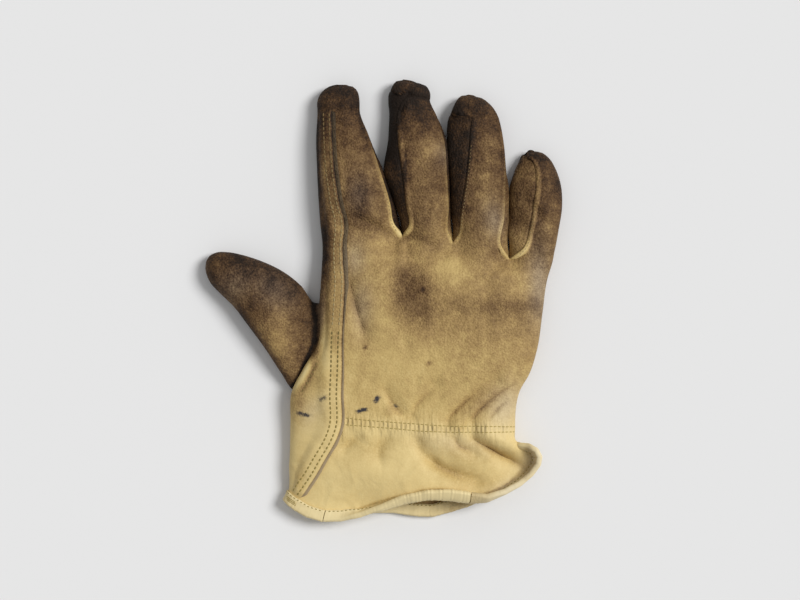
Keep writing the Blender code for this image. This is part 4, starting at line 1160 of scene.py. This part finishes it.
def soil_and_shade_along(x, y, base, lines):
    """Soil that changes across the glove, with painted shade along some (line of points, width, shade)s."""
    soil = np.interp(x, base["x"], base["soil"])
    for line, width, more in lines:
        away, _ = from_line(np.column_stack([x, y]), np.array(line, float))
        soil = soil + more * bell(away, width)
    return soil


# ---------------------------------------------------------------- meshes

def grid_faces(rows, columns, closed=False, skipped=()):
    """Corner numbers of the faces of a grid."""
    faces = []
    for r in range(rows - 1):
        for c in range(columns if closed else columns - 1):
            if (r, c) not in skipped:
                d = (c + 1) % columns
                faces.append((r * columns + c, r * columns + d, (r + 1) * columns + d, (r + 1) * columns + c))
    return faces


def mesh_of(name, parts, finish, wall=0.0, flipped=False, closed=False, capped=False, skipped=()):
    """An object from grids of points that are merged where they meet. A wall over 0 grows out of its faces."""
    mesh = bmesh.new()
    for number, grid in enumerate(parts):
        rows, columns = grid.shape[:2]
        made = [mesh.verts.new(point) for point in ((grid - CENTRE) * MM).reshape(-1, 3)]
        for face in grid_faces(rows, columns, closed, skipped if number == 0 else ()):
            mesh.faces.new([made[k] for k in face])
        if capped:
            mesh.faces.new(made[-columns:])
            if capped == "both":
                mesh.faces.new(made[:columns][::-1])
    bmesh.ops.remove_doubles(mesh, verts=mesh.verts, dist=2e-6)
    bmesh.ops.dissolve_degenerate(mesh, edges=mesh.edges, dist=1e-6)
    if closed:
        bmesh.ops.recalc_face_normals(mesh, faces=mesh.faces)
    if flipped:
        bmesh.ops.reverse_faces(mesh, faces=mesh.faces)
    data = bpy.data.meshes.new(name)
    mesh.to_mesh(data)
    mesh.free()
    data.shade_smooth()
    data.materials.append(finish)
    made = bpy.data.objects.new(name, data)
    bpy.context.scene.collection.objects.link(made)
    if wall:
        shell = made.modifiers.new("Wall", "SOLIDIFY")
        shell.thickness = abs(wall) * MM
        shell.offset = 1 if wall > 0 else -1
    return made


def places(piece):
    """A piece's points in the tables' millimetres."""
    flat = np.empty(len(piece.data.vertices) * 3)
    piece.data.vertices.foreach_get("co", flat)
    return flat.reshape(-1, 3) / MM + CENTRE


def mark(piece, name, values):
    """Keeps one number for each point of a piece, for its material to read."""
    layer = piece.data.attributes.get(name) or piece.data.attributes.new(name, "FLOAT", "POINT")
    layer.data.foreach_set("value", np.broadcast_to(values, len(piece.data.vertices)).astype(np.float32))


# ---------------------------------------------------------------- hem binding

def hem_frames(grids, outward):
    """(places from the inner edge of the binding to the hem, outward directions there) at each column."""
    depth = BINDING_ROWS + 2
    strips = [grids["index"][:depth, 1 if outward > 0 else STRIP_FACES:]]
    strips += [grids[finger][:depth, 1:] for finger in list(FINGERS)[1:]]
    band = np.concatenate(strips, axis=1)
    out = outward * normals(band)
    return [(band[BINDING_ROWS::-1, c], out[BINDING_ROWS::-1, c]) for c in range(band.shape[1])]


def mitred(one, other):
    """The frame at the corner where two panels meet, with normals long enough to clear both."""
    line = (one[0] + other[0]) / 2
    out = [(a + b) / max(1 + a @ b, SHARPEST_MITRE) for a, b in zip(one[1], other[1])]
    return line, np.array(out)


def binding_section(line, out):
    """The U of the binding round one place on the hem. line ends at the hem."""
    near, far = BINDING_GAP, BINDING_GAP + BINDING_LEATHER
    beyond = unit(line[-1] - line[-2])
    middle, half = line[-1] + out[-1] * LEATHER / 2, LEATHER / 2
    turn = np.radians(np.linspace(90, -90, 9))[1:-1, None]
    bend = middle + out[-1] * np.sin(turn) * (half + far) + beyond * np.cos(turn) * far * BINDING_BULGE
    return np.concatenate([
        line + out * (LEATHER + far),
        bend,
        (line - out * far)[::-1],
        line - out * near,
        [line[-1] - out[-1] * near + beyond * near, line[-1] + out[-1] * (LEATHER + near) + beyond * near],
        (line + out * (LEATHER + near))[::-1],
    ])


def binding_lengths(back, palm):
    """The two lengths of binding, each as its sections from one joint round to the other."""
    upper, lower = hem_frames(back, 1), hem_frames(palm, -1)[::-1]
    frames = [*upper[:-1], mitred(upper[-1], lower[0]), *lower[1:]]
    loop = [binding_section(*frame) for frame in frames]
    first, second = (np.abs([line[-1][0] - joint for line, _ in upper]).argmin() for joint in BINDING_JOINTS)
    return {"hem_binding_back": np.stack(loop[first:second + 1]),
            "hem_binding_palm": np.stack(loop[second:] + loop[:first + 1])}


JOINT_GAP = 0.5
PUCKER_DEPTH = 0.045     # as a share of how far each point is from the strip's middle
PUCKERED = ((-55, -30, 0, 20, 48, 54), (0.5, 0.3, 0.4, 1.0, 1.0, 0.15))    # how strongly, from left to right
PUCKER_WAVES = ((2.3, 0.4, 0.45), (1.7, 2.1, 0.3), (3.9, 4.0, 0.35), (9.0, 1.2, 0.3))  # (length, phase, share)


def pucker(along):
    """Close uneven tucks along the binding, from -1 to 1."""
    return sum(share * np.sin(2 * np.pi * along / length + phase) for length, phase, share in PUCKER_WAVES)


# ---------------------------------------------------------------- materials

def linear(colour):
    """The linear colour of an sRGB hex value."""
    parts = [int(colour[k:k + 2], 16) / 255 for k in (1, 3, 5)]
    return (*(c / 12.92 if c <= 0.04045 else ((c + 0.055) / 1.055) ** 2.4 for c in parts), 1.0)


def add_node(tree, kind, inputs, settings=None, steps=()):
    """Adds a node. An input is a value, or the socket that feeds it. steps are a ramp's (place, colour)s."""
    node = tree.nodes.new("ShaderNode" + kind)
    for name, value in (settings or {}).items():
        setattr(node, name, value)
    for name, value in inputs.items():
        if isinstance(value, bpy.types.NodeSocket):
            tree.links.new(value, node.inputs[name])
        else:
            node.inputs[name].default_value = value
    for number, (place, colour) in enumerate(steps):
        marks = node.color_ramp.elements
        step = marks[number] if number < len(marks) else marks.new(place)
        step.position, step.color = place, linear(colour)
    return node


def new_material(name):
    """(material, node tree, shader, Object coordinates) of a new material."""
    made = bpy.data.materials.new(name)
    made.use_nodes = True
    tree = made.node_tree
    return made, tree, tree.nodes["Principled BSDF"], add_node(tree, "TexCoord", {}).outputs["Object"]


SOIL_COLOURS = (
    (0.00, "#ecdba2"),
    (0.14, "#dcc488"),
    (0.28, "#c3a86c"),
    (0.42, "#a28554"),
    (0.58, "#7a5f3b"),
    (0.74, "#583f24"),
    (0.88, "#382513"),
    (1.00, "#1d1208"),
)
SUEDE_COLOURS = (
    (0.10, "#b09a78"),
    (0.34, "#7c6a4e"),
    (0.60, "#564732"),
    (0.90, "#1f1812"),
)
BINDING_COLOURS = (
    (0.00, "#ecdbab"),
    (0.20, "#d9c592"),
    (0.50, "#98815a"),
    (0.80, "#4e3d2a"),
    (1.00, "#1c1510"),
)


# The size in metres of one of each. Real pores are about a third as far apart, and real cracks about half:
# they are drawn coarser so that they show.
PORES, CRACKS, SPECKLE, MOTTLE, CLOUDS, SLACK = 0.0011, 0.0014, 0.0011, 0.0042, 0.013, 0.013
TUCK_WIDE, TUCK_LONG = 0.0026, 0.011
TWIST = 0.0012                       # of the stitches' thread


def grain_leather(name, colours, spots=1.0):
    """Full-grain cowhide, drum-tanned and worn: a soft low gloss, pores that hold dirt, rubbed high spots."""
    made, tree, shader, place = new_material(name)
    soil, raw, ink, greyed, ribs, puckers = (
        add_node(tree, "Attribute", {}, {"attribute_name": marked}).outputs["Fac"]
        for marked in ("soil", "raw", "ink", "greyed", "ribs", "puckers"))
    clouds, mottle, speckle, slack = (
        add_node(tree, "TexNoise", {"Vector": place, "Scale": 1 / size, "Detail": detail, "Roughness": rough,
                                    "Distortion": twist}).outputs["Fac"]
        for size, detail, rough, twist in ((CLOUDS, 4, 0.6, 0), (MOTTLE, 5, 0.65, 0), (SPECKLE, 3, 0.6, 0),
                                           (SLACK, 1.5, 0.45, 0.7)))
    pores = add_node(tree, "TexVoronoi", {"Vector": place, "Scale": 1 / PORES, "Smoothness": 0.5},
                     {"feature": "SMOOTH_F1"}).outputs["Distance"]
    cracks = add_node(tree, "TexVoronoi", {"Vector": place, "Scale": 1 / CRACKS},
                      {"feature": "DISTANCE_TO_EDGE"}).outputs["Distance"]
    cracked = add_node(tree, "MapRange", {"Value": cracks, "From Max": 0.16, "To Min": 1.0, "To Max": 0.0})

    # Dirt lies unevenly, and shows more patchily where there is more of it. The soil number also holds painted
    # shade and painted highlight.
    patchy = add_node(tree, "MapRange", {"Value": soil, "From Min": 0.1, "From Max": 0.7, "To Min": 0.14,
                                         "To Max": 1.2}).outputs[0]
    uneven = 0.0
    for source, centre, gain in ((clouds, 0.5, 0.42), (mottle, 0.5, 0.34), (pores, 0.4, -0.10),
                                 (speckle, 0.5, 0.24), (cracked.outputs[0], 0.25, 0.07)):
        off = add_node(tree, "Math", {0: source, 1: gain * spots, 2: -centre * gain * spots},
                       {"operation": "MULTIPLY_ADD"}).outputs[0]
        uneven = add_node(tree, "Math", {0: uneven, 1: off}, {"operation": "ADD"}).outputs[0]
    level = add_node(tree, "Math", {0: uneven, 1: patchy, 2: soil}, {"operation": "MULTIPLY_ADD"}).outputs[0]

    # The grain side, the raw cut edge, places rubbed grey, and worn ink over them.
    grain = add_node(tree, "ValToRGB", {"Fac": level}, steps=colours).outputs["Color"]
    suede = add_node(tree, "ValToRGB", {"Fac": level}, steps=SUEDE_COLOURS).outputs["Color"]
    mixed = add_node(tree, "Mix", {0: raw, 6: grain, 7: suede}, {"data_type": "RGBA"}).outputs[2]
    dull = add_node(tree, "Math", {0: greyed, 1: -0.42, 2: 1.0}, {"operation": "MULTIPLY_ADD"}).outputs[0]
    grey = add_node(tree, "HueSaturation", {"Saturation": dull, "Color": mixed}).outputs[0]
    rubs = add_node(tree, "Math", {0: speckle, 1: 2.6, 2: -1.35}, {"operation": "MULTIPLY_ADD"}).outputs[0]
    smudge = add_node(tree, "Math", {0: rubs, 1: ink}, {"operation": "ADD"}).outputs[0]
    broken = add_node(tree, "Math", {0: smudge, 1: ink}, {"operation": "MULTIPLY", "use_clamp": True})
    inked = add_node(tree, "Mix", {0: broken.outputs[0], 6: grey, 7: linear("#3a3638")},
                     {"data_type": "RGBA"}).outputs[2]
    rough = add_node(tree, "MapRange", {"Value": level, "To Min": 0.52, "To Max": 0.78}).outputs[0]

    # Clean leather lies smooth, and soiled leather has wrinkled. All of it is a little slack, and the wrist
    # seam draws it into ribs and tucks.
    coarse = add_node(tree, "MapRange", {"Value": soil, "From Min": 0.20, "From Max": 0.6, "To Min": 0.12,
                                         "To Max": 1.0}).outputs[0]
    across = add_node(tree, "SeparateXYZ", {"Vector": place}).outputs["X"]
    turns = add_node(tree, "Math", {0: across, 1: 2 * np.pi / (RIB_PITCH * MM)},
                     {"operation": "MULTIPLY"}).outputs[0]
    wave = add_node(tree, "Math", {0: turns}, {"operation": "SINE"}).outputs[0]
    ribbed = add_node(tree, "Math", {0: wave, 1: ribs}, {"operation": "MULTIPLY"}).outputs[0]
    upright = add_node(tree, "Mapping", {"Vector": place,
                                         "Scale": (1 / TUCK_WIDE, 1 / TUCK_LONG, 1 / TUCK_LONG)})
    tucks = add_node(tree, "TexNoise", {"Vector": upright.outputs[0], "Scale": 1.0, "Detail": 2}).outputs["Fac"]
    tucked = add_node(tree, "Math", {0: tucks, 1: puckers}, {"operation": "MULTIPLY"}).outputs[0]
    under = {}
    for height, deep, strength in ((pores, 0.0005, coarse), (mottle, 0.0009, coarse), (slack, 0.0024, 0.5),
                                   (ribbed, 0.00019, 1.0), (tucked, 0.0012, 1.0)):
        bump = add_node(tree, "Bump", {"Height": height, "Distance": deep, "Strength": strength, **under})
        under = {"Normal": bump.outputs["Normal"]}

    for socket, source in (("Base Color", inked), ("Roughness", rough), ("Normal", under["Normal"])):
        tree.links.new(source, shader.inputs[socket])
    shader.inputs["IOR"].default_value = 1.45
    shader.inputs["Specular IOR Level"].default_value = 0.3
    return made


# ---------------------------------------------------------------- the glove

def show(piece, slot, *nodes):
    """Puts a finished piece on the glove's one body, in the place of its plain solids."""
    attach(piece, "root")
    if nodes:
        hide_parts(*nodes)
    return piece


tan = grain_leather("full_grain_cowhide", SOIL_COLOURS)
cream = grain_leather("split_cowhide_binding", BINDING_COLOURS, 0.6)
back, palm = panel_grids("back"), panel_grids("palm")
bindings = binding_lengths(back, palm)
hole = {(row, column)
        for row in range(grid_row(HOLE_FROM), grid_row(HOLE_TO))
        for column in range(EDGE_COLUMN, HOLE_COLUMN)}
back_leather = mesh_of("back_leather", list(back.values()), tan, LEATHER)
palm_leather = mesh_of("palm_leather", list(palm.values()), tan, LEATHER, flipped=True, skipped=hole)
show(back_leather, "tan_grain_leather", "back")
show(palm_leather, "tan_grain_leather", "palm")

finger_names = list(FINGERS)
walls = []
for left, right in zip(finger_names, finger_names[1:]):
    crotch = crotch_line(back[left][KNUCKLE_ROW, -1], palm[left][KNUCKLE_ROW, -1])
    wall = mesh_of(f"side_wall_leather_{left}_{right}", side_wall(left, right, crotch), tan, -LEATHER)
    walls.append(show(wall, "soiled_grain_leather", f"side_wall_{left}_{right}"))
thumb_leather = mesh_of("thumb_leather", [thumb_grid(palm["index"])], tan, LEATHER, closed=True, capped=True)
show(thumb_leather, "soiled_grain_leather", "thumb")

BINDING_FINER = 4        # how many times as fine as the leather's columns the binding is drawn
bound, strips = [], {}
for name, sections in bindings.items():
    slope = headings(sections)
    fine = run(sections, [even(BINDING_FINER)] * (len(sections) - 1), slope, slope)
    along = lengths_along(fine[:, BINDING_ROWS + 4])
    for end, step in ((0, 1), (-1, -2)):
        fine[end] += unit(fine[step] - fine[end]) * JOINT_GAP / 2
    centre = fine.mean(axis=1, keepdims=True)
    drawn = PUCKER_DEPTH * pucker(along) * np.interp(centre[:, 0, 0], *PUCKERED)
    fine += (fine - centre) * drawn[:, None, None]
    piece = mesh_of(name + "_strip", [fine], cream, closed=True, capped="both")
    bound.append(show(piece, "cream_binding_leather", name))
    strips[name] = fine


# ---------------------------------------------------------------- soil, painted shade, ink and wear on the pieces

LINE_STEP = 0.3
UPPER_SIDE = 8           # the height over which a place belongs to the upper side
RAW_FROM, RAW_TO = 0.3, 4.0                           # how far past the lapped edge it is raw
RAW_ABOVE = ((-100, -60), (4, 8))                     # the height over which it is, up the glove
# Painted shade in the stitched groove beside the raw strip: how dark, the least, where it ends, and its fade up
# the cuff.
GROOVE_SHADE, GROOVE_SHADE_LEAST, GROOVE_END = 0.58, 0.45, 104
GROOVE_UP = ((-60, -20), (0.3, 1))
WRIST_LEFT, RIBS_WIDTH, TUCKS_WIDTH = -23, 2.4, 9.0


def near_line(at, line, width):
    """1 on a line of points, falling softly to 0 a few widths away."""
    lengths = lengths_along(line)
    fine = at_lengths(line, lengths, np.arange(0, lengths[-1], LINE_STEP))
    tree = kdtree.KDTree(len(fine))
    for k, point in enumerate(fine):
        tree.insert(point, k)
    tree.balance()
    away = np.array([tree.find(point)[2] for point in at])
    return bell(away, width)


def past_lap(at):
    """How far each place lies past the palm's lapped edge, towards the little finger."""
    seam = palm["index"][:, STRIP_FACES]
    return at[:, 0] - np.interp(at[:, 1], seam[:, 1], seam[:, 0])


def raw_edge(at):
    """1 on the raw strip beside the lapped seam, up to where it runs in under the index's cap."""
    past = past_lap(at)
    bare = (at[:, 2] > np.interp(at[:, 1], *RAW_ABOVE)) * (past > RAW_FROM) * (past < RAW_TO)
    return bare * short_of_cap(at[:, 1])


def soil_and_shade_of(piece, at):
    """How soiled a piece is at each of its points, with painted shade and painted highlight added in places."""
    x, y, z = at.T
    if piece in walls:
        return wall_soil(x, y, WALL_SOIL[piece.name])
    if piece is thumb_leather:
        return soil_and_shade_along(x, y, THUMB_SOIL, THUMB_SHADE_LINES) + THUMB_PATCH["soil"] * oval(x, y, THUMB_PATCH)
    if piece in bound:
        # Painted shade where the palm's length of binding shows in the gap under the rolled hem.
        gap_shade = (piece is bound[1]) * HEM_GAP_SHADE * bell(x - HEM_GAP_AT, HEM_GAP_WIDTH)
        return soil_and_shade_along(x, y, BINDING_SOIL, BINDING_SHADE_LINES) + gap_shade
    soil = soil_and_shade_at(x, y)
    if piece is back_leather:
        # Paler along the raised seams: wear, and painted highlight on their ridges.
        for finger, column, width, change in RUBBED_AND_LIT_SEAMS:
            line = back[finger][KNUCKLE_ROW:, column]
            soil = soil + change * near_line(at, line, width) * np.interp(y, *RUBBED_AND_LIT_UP)
    else:
        # Painted shade in the stitched groove beside the raw strip.
        groove = bell(past_lap(at) - GROOVE_AT, GROOVE_WIDTH, 4) * np.interp(y, *GROOVE_UP)
        groove = groove * (z > UPPER_SIDE) * (np.abs(y) < GROOVE_END)
        soil = np.maximum(soil, GROOVE_SHADE_LEAST) * groove + soil * (1 - groove) + GROOVE_SHADE * groove
    return soil


for piece in (back_leather, palm_leather, thumb_leather, *walls, *bound):
    at = places(piece)
    x, y, z = at.T
    from_wrist = y - np.interp(x, WRIST_ROWS["x"], (WRIST_ROWS["upper"] + WRIST_ROWS["lower"]) / 2)
    gathered = (z > UPPER_SIDE) & (x > WRIST_LEFT) & (piece is back_leather)
    # The soil number holds painted shade in gaps, grooves, creases and hollows, and painted highlight on raised
    # seams, as well as dirt.
    mark(piece, "soil", soil_and_shade_of(piece, at))
    mark(piece, "raw", raw_edge(at) if piece is palm_leather else 0)
    mark(piece, "ink", strongest(x, y, INK, 4) * (z > UPPER_SIDE))
    mark(piece, "greyed", strongest(x, y, GREYED))
    mark(piece, "ribs", bell(from_wrist, RIBS_WIDTH, 4) * gathered)
    mark(piece, "puckers", bell(from_wrist, TUCKS_WIDTH) * gathered)


# ---------------------------------------------------------------- stitches

def seam_line(grid, outward, column, first=0, last=None):
    """(points, outward directions) on the outer face of a panel, up one of its columns."""
    out = outward * normals(grid)
    skin = grid + out * LEATHER
    below, part = int(column), column - int(column)
    line = skin[:, below] * (1 - part) + skin[:, min(below + 1, grid.shape[1] - 1)] * part
    return line[first:last], out[first:last, below]


def lap_row(away):
    """A line on the palm's lapped edge, at a distance from it that changes up the glove."""
    grid = palm["index"]
    out = -normals(grid)
    skin = grid + out * LEATHER
    line, outs = [], []
    for points, ways in zip(skin, out):
        lengths = lengths_along(points[STRIP_FACES:EDGE_COLUMN])
        place = np.interp(points[STRIP_FACES, 1], away["y"], away["away"])
        line.append(at_lengths(points[STRIP_FACES:EDGE_COLUMN], lengths, [place])[0])
        outs.append(ways[STRIP_FACES + 4])
    return np.array(line), np.array(outs)


def dropped(xs, ys):
    """(points, outward directions) where a line in plan meets the top of the glove."""
    line, outs = [], []
    for x, y in zip(xs, ys):
        start = Vector(((x - CENTRE[0]) * MM, (y - CENTRE[1]) * MM, 0.1))
        hits = [tree.ray_cast(start, Vector((0, 0, -1))) for tree in top_trees]
        place, way = max(((hit[0], hit[1]) for hit in hits if hit[0] is not None), key=lambda hit: hit[0].z)
        line.append(np.array(place) / MM + CENTRE)
        outs.append(np.array(way))
    return np.array(line), np.array(outs)


def one_stitch():
    """The points and faces of one stitch, a grain of thread 2 long, 2 wide and 2 high."""
    bpy.ops.object.select_all(action="DESELECT")
    bpy.ops.mesh.primitive_uv_sphere_add(segments=8, ring_count=5, radius=1)
    ball = bpy.context.object
    points = np.array([v.co for v in ball.data.vertices])
    faces = [list(f.vertices) for f in ball.data.polygons]
    bpy.data.objects.remove(ball)
    return points, faces


def stitch_row(name, line, out, pitch, size, finish):
    """A row of stitches along a line. size is the length, width and height of one."""
    grain, faces = STITCH
    lengths = lengths_along(line)
    count = int(lengths[-1] / pitch)
    along = (np.arange(count) + 0.5) * pitch
    middle, ahead = at_lengths(line, lengths, along), at_lengths(line, lengths, along + 0.4)
    tangent = unit(ahead - middle)
    normal = unit(at_lengths(out, lengths, along))
    side = unit(np.cross(normal, tangent))
    normal = np.cross(tangent, side)
    half = np.array(size) / 2
    shapes = [m + (grain * half) @ np.array([t, w, n])
              for m, t, w, n in zip(middle, tangent, side, normal)]
    points = np.concatenate([(shape - CENTRE) * MM for shape in shapes])
    corners = [[k + number * len(grain) for k in face] for number in range(count) for face in faces]
    data = bpy.data.meshes.new(name)
    data.from_pydata(points.tolist(), [], corners)
    data.update()
    data.shade_smooth()
    data.materials.append(finish)
    piece = bpy.data.objects.new(name, data)
    bpy.context.scene.collection.objects.link(piece)
    mark(piece, "soil", np.interp(places(piece)[:, 1], BASE_SOIL["y"], BASE_SOIL["soil"]))
    show(piece, "cream_binding_leather")


def cotton_thread(name, clean, soiled):
    """Spun cotton thread, waxed and trodden in: matt, and as dark as the leather round it is soiled; the sunken
    thread's darker colours also paint the shade of its needle holes.
    """
    made, tree, shader, place = new_material(name)
    soil = add_node(tree, "Attribute", {}, {"attribute_name": "soil"}).outputs["Fac"]
    colour = add_node(tree, "ValToRGB", {"Fac": soil}, steps=((0.05, clean), (0.75, soiled))).outputs["Color"]
    twist = add_node(tree, "TexNoise", {"Vector": place, "Scale": 1 / TWIST, "Detail": 2}).outputs["Fac"]
    bump = add_node(tree, "Bump", {"Height": twist, "Strength": 0.6, "Distance": 0.0002})
    tree.links.new(colour, shader.inputs["Base Color"])
    tree.links.new(bump.outputs["Normal"], shader.inputs["Normal"])
    shader.inputs["Roughness"].default_value = 0.85
    return made


STITCH = one_stitch()
bpy.context.view_layer.update()
graph = bpy.context.evaluated_depsgraph_get()
top_trees = [BVHTree.FromObject(piece, graph) for piece in (back_leather, palm_leather, *bound)]

# The sunken thread is coloured dark for its dirt and for painted shade in the needle holes that it lies in.
thread_in_shade = cotton_thread("sunken_cotton_thread", "#a08c4c", "#2a2118")
wrist_thread = cotton_thread("wrist_cotton_thread", "#b5a05e", "#6a5630")
light_thread = cotton_thread("raised_cotton_thread", "#cdb885", "#6f5a36")

LAP_PITCH, LAP_START = 2.6, 8.0
LAP_PARTS = (-16.0, 104.0)           # the y at which the lap's stitches get paler, and at which they end
for label, away in (("outer", LAP_ROWS_OUTER), ("inner", LAP_ROWS_INNER)):
    line, out = lap_row(away)
    first = np.searchsorted(lengths_along(line), LAP_START)
    middle, last = np.searchsorted(line[:, 1], LAP_PARTS)
    stitch_row(f"lap_seam_stitches_{label}_cuff", line[first:middle], out[first:middle], LAP_PITCH,
               (2.0, 1.0, 0.5), thread_in_shade)
    stitch_row(f"lap_seam_stitches_{label}_hand", line[middle:last], out[middle:last], LAP_PITCH,
               (2.2, 0.9, 0.7), light_thread)

for label in ("upper", "lower"):
    xs = np.linspace(WRIST_ROWS["x"][0], WRIST_ROWS["x"][-1], 180)
    line, out = dropped(xs, np.interp(xs, WRIST_ROWS["x"], WRIST_ROWS[label]))
    stitch_row(f"wrist_stitches_{label}", line, out, RIB_PITCH, (2.1, 0.6, 0.4), wrist_thread)

# The seams beside the fingers' backs: the columns in from the edge, and the rows left plain at the tip.
SEAM_IN, SEAM_PITCH, SEAM_STITCH = 1.6, 2.0, (1.2, 0.5, 0.4)
for finger in ("index", "middle", "ring"):
    line, out = seam_line(back[finger], 1, BACK_FACES[finger] - SEAM_IN + (finger == "index"),
                          KNUCKLE_ROW + 3, -28)
    stitch_row(f"{finger}_right_seam_stitches", line, out, SEAM_PITCH, SEAM_STITCH, light_thread)
for finger in ("ring", "little"):
    line, out = seam_line(back[finger], 1, SEAM_IN, KNUCKLE_ROW + 3, -24)
    stitch_row(f"{finger}_left_seam_stitches", line, out, SEAM_PITCH, SEAM_STITCH, light_thread)

THUMB_ROW = ((-37.0, -35.0), (-40.8, -43.0), (-46.5, -53.5))
line, out = dropped(*bent_line(*THUMB_ROW, 40).T)
stitch_row("thumb_seam_stitches", line, out, 2.4, (1.7, 0.8, 0.4), thread_in_shade)

# The bar tack at the left end of the hem: where its first row runs, and how far up each of its rows lies.
TACK_X, TACK_Y, TACK_SHIFTS = (-54.2, -48.4), (-111.6, -115.6), (0.0, 0.9, 1.8)
for number, shift in enumerate(TACK_SHIFTS):
    line, out = dropped(np.linspace(*TACK_X, 30), np.linspace(*TACK_Y, 30) + shift)
    stitch_row(f"hem_binding_palm_stitches_tack_{number}", line, out, 1.1, (1.1, 0.6, 0.4), thread_in_shade)

# The binding's rows run between its section's last point and the one before, on its two sides, and stop
# a few points short of its ends.
ROW_ENDS = slice(6, -6)
inner_end = BINDING_ROWS * 3 + 4
for name, fine in strips.items():
    for label, edge, inner, under in (("outer", 0, 1, -1), ("inner", inner_end, inner_end - 1, inner_end + 1)):
        line = fine[:, edge] * 0.45 + fine[:, inner] * 0.55
        out = unit(fine[:, edge] - fine[:, under])
        stitch_row(f"{name}_stitches_{label}", line[ROW_ENDS], out[ROW_ENDS], 2.3, (1.4, 0.6, 0.35), thread_in_shade)


# ---------------------------------------------------------------- floor, light and camera

bpy.ops.object.select_all(action="DESELECT")
bpy.ops.mesh.primitive_plane_add(size=4, location=(0, 0, 0))
floor = bpy.context.object
floor.name = "floor"
paper = bpy.data.materials.new("matt_paper_floor")
paper.use_nodes = True
paper.node_tree.nodes["Principled BSDF"].inputs["Base Color"].default_value = linear("#e5e5e5")
paper.node_tree.nodes["Principled BSDF"].inputs["Roughness"].default_value = 0.9
floor.data.materials.append(paper)

LIGHT_FROM = (1.0, 0.35, 1.15)
key = bpy.data.lights.new("key", "SUN")
key.energy = 2.5
key.angle = np.radians(25)
key_at = bpy.data.objects.new("key", key)
key_at.rotation_euler = Vector(LIGHT_FROM).to_track_quat("Z", "Y").to_euler()
bpy.context.scene.collection.objects.link(key_at)
world = bpy.data.worlds.new("studio")
world.use_nodes = True
world.node_tree.nodes["Background"].inputs["Color"].default_value = (1, 1, 1, 1)
world.node_tree.nodes["Background"].inputs["Strength"].default_value = 0.42
bpy.context.scene.world = world

CAMERA_HEIGHT, VIEW_WIDTH = 1.6, 0.448
lens = bpy.data.cameras.new("camera")
lens.sensor_width = 36
lens.lens = lens.sensor_width * CAMERA_HEIGHT / VIEW_WIDTH
camera = bpy.data.objects.new("camera", lens)
camera.location = (0.00911, 0.00034, CAMERA_HEIGHT)
bpy.context.scene.collection.objects.link(camera)
bpy.context.scene.camera = camera
bpy.context.scene.view_settings.view_transform = "Standard"
